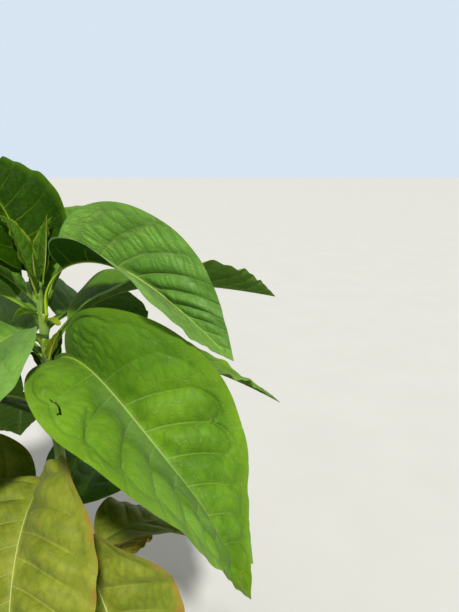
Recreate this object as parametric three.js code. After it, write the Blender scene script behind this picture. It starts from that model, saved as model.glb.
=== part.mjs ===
// A tobacco plant in full leaf: one stem from the ground to its growing tip,
// large blades set spirally round it, small upright leaves at the tip, withered
// leaves at the foot and small shoot leaves in the leaf axils.
// Millimetres, +Z up, the origin at the middle of the flat cut at ground level.
import * as THREE from 'three';

// ---------------------------------------------------------------- named sizes
const STEM_TOP = 1094;            // height of the stem under the growing tip
const FULL_HEIGHT = 1168;         // height that the taper and the lean are reckoned over
const STEM_FOOT_RADIUS = 16.5;    // radius of the stem above its flare
const STEM_TAPER = 10.5;          // how much thinner the stem is at its top
const STEM_TAPER_POWER = 1.35;
const FLARE = 8.5;                // extra radius at the ground
const FLARE_HEIGHT = 26;
const LEAN_X = -4, LEAN_Y = -4;   // how far the top leans
const STEM_SIDES = 12;
const TIP_RADIUS = 7.5, TIP_HEIGHT = 34;   // bud at the top of the stem

const BLADE_THICK_MID = 3.6;      // thickness of a blade at its midrib
const BLADE_THICK_EDGE = 2.2;     // and at its margin
const START_GAP = 2.8;            // middle of a leaf's foot off the stem's face

const LOBE = 0.022;               // how far the blade's shoulders reach back
const FORWARD = 0.16;             // how far side veins run forward to the margin
const ROUND = 0.60, TAPER = 1.08; // shape of the outline at its base and its tip

const RAD = Math.PI / 180;

// ---------------------------------------------------------------- leaf sizes
// z, azimuth, length, half width (mm, degrees)
// rise at the foot, slope further out, share of the length that it takes
// drop beyond a bend, where the bend is, how long it is
// fold of the two halves near the stem and further out, share of the length that it takes
// curl of the halves, roll along the leaf, sweep sideways, share that is stalk
const LEAVES = {
  young_leaf_1: [1084.4, -75, 78, 12, 60.3, 61.4, 0.666, -5.7, 0.8, 0.1, 20.3, 72.7, 33.7, 57.7, 0.6, 2, -15.1, 13.9, 0.1],
  young_leaf_2: [1074.4, 79, 150, 29, 60.2, 80.1, 0.581, 28, 0.84, 0.05, 50.1, 41.3, 46.8, 44.1, 0.6, 2, -4.5, -14.9, 0.1],
  young_leaf_3: [1082.7, -188.2, 160, 29, 71.8, 70.7, 0.674, 43.8, 0.8, 0.05, 35.3, 54.9, 44.4, 42.8, 0.6, 2, -3.9, -12.5, 0.1],
  young_leaf_4: [1079.3, 2.6, 145, 18, 73.2, 90.3, 0.596, 7.6, 0.8, 0.1, 61.1, 59.9, 54.9, 54.4, 0.6, 2, -2.3, -8.4, 0.1],
  young_leaf_5: [1056.6, -86.9, 72, 13, 56.3, 65.9, 0.613, 12.9, 0.75, 0.06, 60.4, 63.3, 52.4, 44.9, 0.6, 2, -1.1, -6.1, 0.1],
  upper_leaf_1: [1062.1, 135.8, 440, 120, 72.2, 22.1, 0.442, 12.1, 0.7, 0.08, 21.6, 13.7, 48.8, 16.4, 0.45, 1, -28.7, 4, 0.12],
  upper_leaf_2: [1048.7, -158.3, 240, 48, 53.5, 29.5, 0.451, 42.2, 0.7, 0.08, 29.8, 35.7, 47.9, 42.9, 0.6, 2, -9.3, 26.8, 0.12],
  upper_leaf_3: [1028.3, 69, 400, 105, 52.7, 19.1, 0.513, 18.8, 0.65, 0.07, 40.4, 49, 24.8, 22.3, 0.4, 1, -2.4, -8.9, 0.12],
  upper_leaf_4: [1018.3, -180.2, 430, 120, 39.1, -7.8, 0.379, 5.1, 0.6, 0.06, 52.6, 54.8, 22.9, 22.1, 0.4, 1, -16.5, -43.2, 0.13],
  leaf_01: [1014.3, -22.3, 542.4, 124.2, 88, -32.3, 0.327, 12.5, 0.409, 0.06, 84, 51.5, 45, 29.1, 0.5, 0, 36, 9.8, 0.25],
  leaf_02: [980.5, 79.8, 520, 140, 10, -23.9, 0.299, 28.4, 0.6, 0.06, 41.7, 34.6, 26, -3.9, 0.36, 0.8, 7.1, 3.2, 0.13],
  leaf_03: [961.6, -110.5, 540, 145, 49.8, -34, 0.174, -0, 0.62, 0.06, 19.6, 25, 3.7, 31.8, 0.34, 0.8, -4.2, -27.9, 0.13],
  leaf_04: [939.9, 19.1, 600, 150, 60.7, -17.6, 0.33, 0.3, 0.66, 0.06, 16.5, 14.3, 8.8, 30.7, 0.34, 0.8, -12, 11.3, 0.13],
  leaf_05: [910.1, 143.4, 600, 155, 29.6, -32.3, 0.408, 50, 0.58, 0.06, 25.7, 24.2, 9, 6.2, 0.34, 0.8, -43.3, 16.4, 0.13],
  leaf_06: [867.1, -44.1, 721.6, 175.5, 75.5, -40.3, 0.188, 23.1, 0.731, 0.035, 88, 7.5, -20, 48.6, 0.446, 0.01, 22.8, 28.2, 0.17],
  leaf_07: [842.7, 41.8, 630, 160, 20.6, -6.8, 0.073, 23.3, 0.56, 0.06, 36.2, 16, 23.6, 1.5, 0.32, 0.8, -25.6, -46.2, 0.13],
  leaf_08: [791.8, -155.7, 620, 160, 54.1, -42.2, 0.272, 16.7, 0.54, 0.06, 61.1, 55.6, 13.2, 10.6, 0.32, 0.8, -9.1, 14, 0.13],
  leaf_09: [755.6, -27.5, 620, 158, 52, -30.6, 0.258, 29.7, 0.56, 0.05, 59.6, 52.6, 13.7, 2.1, 0.32, 0.8, 11.3, 16.8, 0.13],
  leaf_10: [712.2, 127.3, 630, 165, 22.1, -41.9, 0.364, 11.3, 0.55, 0.06, 34.2, 26.1, 19.6, -2.6, 0.3, 0.8, -22.4, -10.4, 0.13],
  leaf_11: [630.7, -95.9, 606.4, 170, 40, -57.4, 0.285, 54.9, 0.698, 0.06, 52.2, 9, -10, 4.6, 0.394, 0.01, 1.4, 35, 0.13],
  leaf_12: [596.9, 66.8, 610, 160, 50.6, -1.4, 0.27, 18.5, 0.54, 0.06, 7.5, 7.6, 9.4, -16.8, 0.3, 0.8, 13.1, 5.8, 0.13],
  leaf_13: [548.8, 174.6, 590, 155, 17.3, -33.5, 0.412, 44.6, 0.52, 0.06, 42.6, 33.9, 24.8, 40.3, 0.3, 0.8, -24.5, 18, 0.13],
  leaf_14: [474.9, -54.4, 588.9, 155.8, 31.1, -48.6, 0.12, 19.7, 0.549, 0.06, 79.7, 29.8, 3.9, 12.3, 0.3, 0.9, -0, 33.3, 0.13],
  leaf_15: [449.7, 84.5, 550, 145, 56.6, -12.3, 0.164, 19.3, 0.5, 0.06, 13.7, 3.2, 19, -4.9, 0.3, 0.9, 11.8, 6.9, 0.13],
  leaf_16: [397.3, -144.5, 530, 138, 53.9, -24.5, 0.316, 29.5, 0.5, 0.06, 14.7, 14.4, 10, -3.3, 0.3, 1, 2, -11.2, 0.13],
  leaf_17: [363.7, 40.6, 510, 132, 25.6, -32.2, 0.319, 23.8, 0.5, 0.06, 20.6, 25.4, -7.2, 17.3, 0.3, 1, 0.4, 12.1, 0.13],
  leaf_18: [308.7, 162.3, 480, 122, 18.4, -24.8, 0.266, 20.5, 0.5, 0.06, 34.8, 33.3, 7.6, 10.5, 0.3, 1, 13.1, -2.2, 0.13],
  leaf_19: [266.2, -90.4, 440, 110, 48, -10.9, 0.269, 24, 0.5, 0.06, 17.6, 6.4, 14.6, 4.7, 0.3, 1.2, 11.2, 15.7, 0.13],
  leaf_20: [236.9, 73.8, 400, 98, 25, -13.2, 0.199, 11.7, 0.5, 0.06, 23, 24.8, 2.9, 11.4, 0.3, 1.5, -18.4, -6.1, 0.13],
  withered_leaf_1: [178.2, -221.4, 330, 58, 41.2, -49.3, 0.4, -13.4, 0.5, 0.08, 19.4, 10.2, 62.9, 6.6, 0.3, 3, -13, -25.5, 0.12],
  withered_leaf_2: [147, -11.1, 260, 48, 10.2, -51, 0.366, -29.2, 0.75, 0.08, 53, 60, 58.4, 63.9, 0.3, 3, 19.7, -8.9, 0.12],
  withered_leaf_3: [99.2, 107.3, 190, 36, 10, -48.2, 0.32, -48.1, 0.7, 0.08, 69.3, 62.6, 64.9, 66.1, 0.3, 3, 1.6, 13.3, 0.12],
  shoot_leaf_1: [1013.2, 99.9, 80, 17, 45.9, 8.2, 0.544, 80.8, 0.7, 0.06, 3.8, 20.7, 51.5, 36.5, 0.6, 2, 26.8, 6.3, 0.1],
  shoot_leaf_2: [1016.2, -118, 62, 14, 41.2, -24.1, 0.56, 20.5, 0.7, 0.06, 13.4, 22.5, 68.7, 56.9, 0.6, 2, -35.1, -18, 0.1],
  shoot_leaf_3: [1006.2, -41.2, 85, 13, 12, -7.7, 0.346, -21.1, 0.7, 0.06, 21.4, 51, 33.8, 36.4, 0.6, 2, -21.1, -26.6, 0.1],
  shoot_leaf_4: [913.2, -45.3, 105, 16, 64.5, 43.4, 0.483, -0.6, 0.7, 0.06, 13.4, 3.8, 35.8, 48.7, 0.6, 2, 25.4, 5.5, 0.1],
  shoot_leaf_5: [956.3, -158.9, 70, 15, 19.7, 0.6, 0.535, 22.8, 0.7, 0.06, 28.6, 43.5, 26.3, 47.8, 0.6, 2, -12, 36.3, 0.1],
  shoot_leaf_6: [875.8, -211.6, 75, 15, 56.3, 28.3, 0.465, 22.6, 0.7, 0.06, 17.6, 3.6, 64.3, 34.6, 0.6, 2, 1.5, 4.3, 0.1],
  shoot_leaf_7: [881.4, 61, 90, 17, 73, 53.7, 0.499, 35.9, 0.7, 0.06, 12, 0, 38, 52.5, 0.6, 2, 5.7, 31.3, 0.1],
  shoot_leaf_8: [750.1, 50.1, 80, 15, 34.9, 55.8, 0.594, 25.5, 0.7, 0.06, 17.4, 25, 23.8, 6.6, 0.6, 2, 5.4, -25.6, 0.1],
};

const COLOURS = {
  stem: 0x6f8a3c, leaf: 0x4c7d2c, old: 0x8a8c34, withered: 0x8b5f2c, young: 0x7da23c,
};

function material(colour, roughness) {
  return new THREE.MeshStandardMaterial({ color: colour, roughness, metalness: 0, side: THREE.FrontSide });
}

const materials = {
  stem: material(COLOURS.stem, 0.6),
  leaf: material(COLOURS.leaf, 0.5),
  old: material(COLOURS.old, 0.55),
  withered: material(COLOURS.withered, 0.85),
  young: material(COLOURS.young, 0.5),
};

// ---------------------------------------------------------------- the stem
function stemCentre(z) {
  const k = z / FULL_HEIGHT;
  return [
    LEAN_X * k * k * k + 4 * Math.sin(5.2 * k) * k,
    LEAN_Y * k * k + 3 * Math.sin(4.1 * k + 0.8) * k,
  ];
}

function stemRadius(z) {
  const k = Math.min(1, Math.max(0, z / FULL_HEIGHT));
  return STEM_FOOT_RADIUS - STEM_TAPER * k ** STEM_TAPER_POWER + FLARE * Math.exp(-z / FLARE_HEIGHT);
}

// A closed body from rings of points: a fan closes the first and last ring.
function loft(rings, foot, head) {
  const positions = [], index = [], n = rings[0].length;
  rings.forEach((ring) => ring.forEach((p) => positions.push(...p)));
  const a = positions.length / 3;
  positions.push(...foot);
  positions.push(...head);
  for (let i = 0; i + 1 < rings.length; i++) {
    for (let j = 0; j < n; j++) {
      const p = i * n + j, q = i * n + (j + 1) % n, r = p + n, s = q + n;
      index.push(p, q, s, p, s, r);
    }
  }
  const last = (rings.length - 1) * n;
  for (let j = 0; j < n; j++) {
    index.push(a, (j + 1) % n, j);
    index.push(a + 1, last + j, last + (j + 1) % n);
  }
  const g = new THREE.BufferGeometry();
  g.setAttribute('position', new THREE.Float32BufferAttribute(positions, 3));
  g.setIndex(index);
  g.computeVertexNormals();
  return g;
}

function stemGeometry() {
  const heights = [0, 6, 14, 26, 45, 75];
  for (let z = 130; z < STEM_TOP - 20; z += 92) heights.push(z);
  heights.push(STEM_TOP);
  const rings = heights.map((z) => {
    const [x, y] = stemCentre(z), r = stemRadius(z);
    const ring = [];
    for (let j = 0; j < STEM_SIDES; j++) {
      const a = 2 * Math.PI * j / STEM_SIDES;
      const lobe = 1 + 0.10 * Math.exp(-z / FLARE_HEIGHT) * Math.sin(5 * a + 0.6);
      ring.push([x + r * lobe * Math.cos(a), y + r * lobe * Math.sin(a), z]);
    }
    return ring;
  });
  const [x0, y0] = stemCentre(0), [x1, y1] = stemCentre(STEM_TOP);
  return loft(rings, [x0, y0, 0], [x1, y1, STEM_TOP]);
}

// The bud of folded leaves that ends the stem.
function tipGeometry() {
  const z0 = STEM_TOP + 0.4, rings = [], sides = 8;
  const [x0, y0] = stemCentre(STEM_TOP);
  for (let i = 0; i < 6; i++) {
    const t = i / 6;
    const r = 1.2 + (TIP_RADIUS - 2.2) * Math.sin(Math.PI * (0.22 + 0.74 * t)) ** 0.8;
    const ring = [];
    for (let j = 0; j < sides; j++) {
      const a = 2 * Math.PI * j / sides + 0.5 * t;
      const uneven = 1 + 0.16 * Math.sin(3 * a + 1.2 + 2 * t);
      ring.push([x0 + 3 * t + r * uneven * Math.cos(a), y0 - 1.5 * t + r * uneven * Math.sin(a), z0 + TIP_HEIGHT * t * 0.94]);
    }
    rings.push(ring);
  }
  return loft(rings, [x0, y0, z0], [x0 + 3.2, y0 - 1.6, z0 + TIP_HEIGHT]);
}

// ---------------------------------------------------------------- a leaf
const smooth = (x) => { const k = Math.min(1, Math.max(0, x)); return k * k * (3 - 2 * k); };
const PEAK = ROUND / (ROUND + TAPER);
const OUTLINE_MAX = PEAK ** ROUND * (1 - PEAK) ** TAPER;
const STEPS = 80;

// Angle above level at share t of the midrib.
function rise(p, t) {
  return (p.elm + (p.el0 - p.elm) * Math.exp(-((t / p.tau) ** 1.3)) - p.kink / (1 + Math.exp(-(t - p.tk) / p.wk))) * RAD;
}

function midrib(p) {
  const [cx, cy] = stemCentre(p.z), a0 = p.az * RAD, r = stemRadius(p.z) + START_GAP, h = p.L / STEPS;
  const at = new THREE.Vector3(cx + r * Math.cos(a0), cy + r * Math.sin(a0), p.z);
  const points = [at.clone()];
  for (let i = 0; i < STEPS; i++) {
    const t = (i + 0.5) / STEPS, e = rise(p, t), a = (p.az + p.sweep * t ** 1.5) * RAD;
    at.add(new THREE.Vector3(Math.cos(e) * Math.cos(a), Math.cos(e) * Math.sin(a), Math.sin(e)).multiplyScalar(h));
    points.push(at.clone());
  }
  return points;
}

// Where the row that leaves the midrib at u meets the margin: length along, width.
function margin(p, u) {
  const v = Math.min(1, Math.max(0, (u - p.xp) / (1 - p.xp)));
  const m = v + FORWARD * Math.sin(Math.PI * v) - LOBE * (1 - v) ** 8;
  const mm = Math.min(1, Math.max(0, (m + LOBE) / (1 + LOBE)));
  const blade = u > p.xp ? p.W * mm ** ROUND * (1 - mm) ** TAPER / OUTLINE_MAX : 0;
  const stalk = 1.2 + 30 * p.W / 160 * 0.28 * smooth(u / 0.11) * (1 - Math.min(1, u / 0.9)) + 1.6;
  const s = u > p.xp ? p.xp + (1 - p.xp) * m : u - LOBE * (1 - p.xp) * Math.min(1, Math.max(0, (u - p.xp + 0.02) / 0.02));
  return [s * p.L, Math.hypot(blade, stalk)];
}

// Point on the blade's middle surface and its up direction: q from 0 at the midrib to 1.
function bladePoint(p, points, u, q, side) {
  const [ms, mw] = margin(p, u), s0 = u * p.L, c1 = s0 + 0.30 * (ms - s0);
  const s = (1 - q) ** 2 * s0 + 2 * q * (1 - q) * c1 + q * q * ms;
  const d = 2 * q * (1 - q) * 0.56 * mw + q * q * mw;
  const t = Math.min(1, Math.max(0, s / p.L));
  const f = t * STEPS, i = Math.min(STEPS - 1, Math.floor(f));
  const c = points[i].clone().lerp(points[i + 1], f - i);
  const e = rise(p, t), a = (p.az + p.sweep * t ** 1.5) * RAD;
  const b0 = new THREE.Vector3(-Math.sin(a), Math.cos(a), 0);
  const n0 = new THREE.Vector3(-Math.sin(e) * Math.cos(a), -Math.sin(e) * Math.sin(a), Math.cos(e));
  const roll = p.roll * RAD * t;
  const b = b0.clone().multiplyScalar(Math.cos(roll)).addScaledVector(n0, Math.sin(roll));
  const n = b0.clone().multiplyScalar(-Math.sin(roll)).addScaledVector(n0, Math.cos(roll));
  const [fb, fm] = side > 0 ? [p.fbL, p.fmL] : [p.fbR, p.fmR];
  const fold = (fm + (fb - fm) * Math.exp(-((Math.max(0, t - p.xp) / p.tf) ** 1.6))) * RAD * smooth(t / 0.09);
  const k = (p.curl / p.W) * 0.16 + 1e-9;
  const x = (Math.sin(fold) - Math.sin(fold - k * d)) / k;
  const z = (Math.cos(fold - k * d) - Math.cos(fold)) / k;
  const point = c.addScaledVector(b, side * x).addScaledVector(n, z);
  const g = fold - k * d;
  const up = n.clone().multiplyScalar(Math.cos(g)).addScaledVector(b, -side * Math.sin(g));
  return [point, up];
}

function leafGeometry(p) {
  const big = p.W > 70;
  // rows of the stalk, then rows of the blade as shares of its length
  const stalk = p.xp > 0.2 ? [0, 0.32 * p.xp, 0.68 * p.xp] : big ? [0, 0.46 * p.xp] : [0, p.xp];
  const blade = big ? [0.017, 0.09, 0.22, 0.37, 0.53, 0.70, 0.85, 0.948] : [0.07, 0.27, 0.49, 0.72, 0.91];
  const rows = [...stalk, ...blade.map((v) => p.xp + (1 - p.xp) * v)];
  const qs = big ? [-1, -0.62, -0.27, 0, 0.27, 0.62, 1] : [-1, -0.5, 0, 0.5, 1];
  const points = midrib(p), n = qs.length, thick = big ? 1 : 0.62;
  const top = [], low = [];
  for (const u of rows) {
    const tr = [], lr = [];
    for (const q of qs) {
      const side = q < 0 ? -1 : 1;
      let [point, up] = bladePoint(p, points, u, Math.abs(q), side);
      if (q === 0) up = bladePoint(p, points, u, 0.02, 1)[1].add(bladePoint(p, points, u, 0.02, -1)[1]).normalize();
      const h = 0.5 * thick * (BLADE_THICK_MID + (BLADE_THICK_EDGE - BLADE_THICK_MID) * Math.abs(q)) * (1 - 0.45 * u);
      tr.push(point.clone().addScaledVector(up, h));
      lr.push(point.clone().addScaledVector(up, -h));
    }
    top.push(tr);
    low.push(lr);
  }
  // each ring runs over the top from margin to margin and back under
  const rings = top.map((tr, i) => [...tr.slice().reverse(), ...low[i]].map((v) => [v.x, v.y, v.z]));
  const positions = [], index = [], m = 2 * n;
  rings.forEach((ring) => ring.forEach((v) => positions.push(...v)));
  for (let i = 0; i + 1 < rings.length; i++) {
    for (let j = 0; j < m; j++) {
      const a = i * m + j, b = i * m + (j + 1) % m, c = a + m, d = b + m;
      // both faces are split along the same diagonal, so the blade keeps its thickness
      if (j < n) index.push(a, b, d, a, d, c);
      else index.push(a, b, c, b, d, c);
    }
  }
  // the foot is closed by a strip, the tip by a fan to one point
  for (let j = 0; j + 1 < n; j++) {
    const a = n - 1 - j, b = n - 2 - j, c = n + j, d = n + j + 1;
    index.push(a, b, d, a, d, c);
  }
  const tip = positions.length / 3, last = (rings.length - 1) * m;
  const end = points[STEPS];
  positions.push(end.x, end.y, end.z);
  for (let j = 0; j < m; j++) index.push(last + j, last + (j + 1) % m, tip);
  const g = new THREE.BufferGeometry();
  g.setAttribute('position', new THREE.Float32BufferAttribute(positions, 3));
  g.setIndex(index);
  // faces point out of the body: turned over where the signed volume is negative
  const v = (i) => new THREE.Vector3().fromArray(positions, 3 * index[i]);
  let volume = 0;
  for (let i = 0; i < index.length; i += 3) volume += v(i).dot(v(i + 1).cross(v(i + 2)));
  if (volume < 0) {
    for (let i = 0; i < index.length; i += 3) [index[i + 1], index[i + 2]] = [index[i + 2], index[i + 1]];
    g.setIndex(index);
  }
  g.computeVertexNormals();
  return g;
}

// ---------------------------------------------------------------- the plant
const plant = new THREE.Group();
plant.name = 'tobacco_plant';

function add(name, geometry, mat) {
  const mesh = new THREE.Mesh(geometry, mat);
  mesh.name = name;
  plant.add(mesh);
}

add('stem', stemGeometry(), materials.stem);
add('growing_tip', tipGeometry(), materials.young);

const FIELDS = ['z', 'az', 'L', 'W', 'el0', 'elm', 'tau', 'kink', 'tk', 'wk', 'fbL', 'fbR', 'fmL', 'fmR', 'tf', 'curl', 'roll', 'sweep', 'xp'];
const OLD = ['leaf_11', 'leaf_13', 'leaf_14', 'leaf_16', 'leaf_17', 'leaf_18', 'leaf_19', 'leaf_20'];
for (const [name, numbers] of Object.entries(LEAVES)) {
  const p = Object.fromEntries(FIELDS.map((f, i) => [f, numbers[i]]));
  const mat = name.startsWith('withered') ? materials.withered
    : OLD.includes(name) ? materials.old
      : /^(young|shoot)/.test(name) ? materials.young : materials.leaf;
  add(name, leafGeometry(p), mat);
}

export default plant;
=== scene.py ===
import math
import bpy
import numpy as np
from mathutils import Vector, Matrix


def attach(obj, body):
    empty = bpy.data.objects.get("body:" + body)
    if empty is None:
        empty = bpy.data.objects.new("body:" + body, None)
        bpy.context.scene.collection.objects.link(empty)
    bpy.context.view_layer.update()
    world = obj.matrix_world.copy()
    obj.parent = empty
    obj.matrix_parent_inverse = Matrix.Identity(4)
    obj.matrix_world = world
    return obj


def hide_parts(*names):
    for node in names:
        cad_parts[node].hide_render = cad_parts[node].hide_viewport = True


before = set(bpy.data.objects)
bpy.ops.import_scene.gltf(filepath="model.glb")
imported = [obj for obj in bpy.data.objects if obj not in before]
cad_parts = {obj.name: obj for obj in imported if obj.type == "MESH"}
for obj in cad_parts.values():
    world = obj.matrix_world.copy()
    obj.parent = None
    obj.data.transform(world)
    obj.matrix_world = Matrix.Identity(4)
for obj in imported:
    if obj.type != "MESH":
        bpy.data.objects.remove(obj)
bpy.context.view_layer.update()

DEG = math.pi / 180

# ------------------------------------------------------------------ camera
# The picture is 459 x 612; the lens sees 63.4 degrees upright, tilted 16.4 degrees down.
scene = bpy.context.scene
cam_data = bpy.data.cameras.new("camera")
cam_data.sensor_fit = "AUTO"
cam_data.sensor_width = 36.0
cam_data.lens = 36.0 * 495.0 / 612.0
cam_data.clip_start = 0.02
cam = bpy.data.objects.new("camera", cam_data)
scene.collection.objects.link(cam)
cam.location = (0.39, -1.0, 1.325)
cam.rotation_euler = ((90 - 16.4) * DEG, 0, 0)
scene.camera = cam

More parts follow.
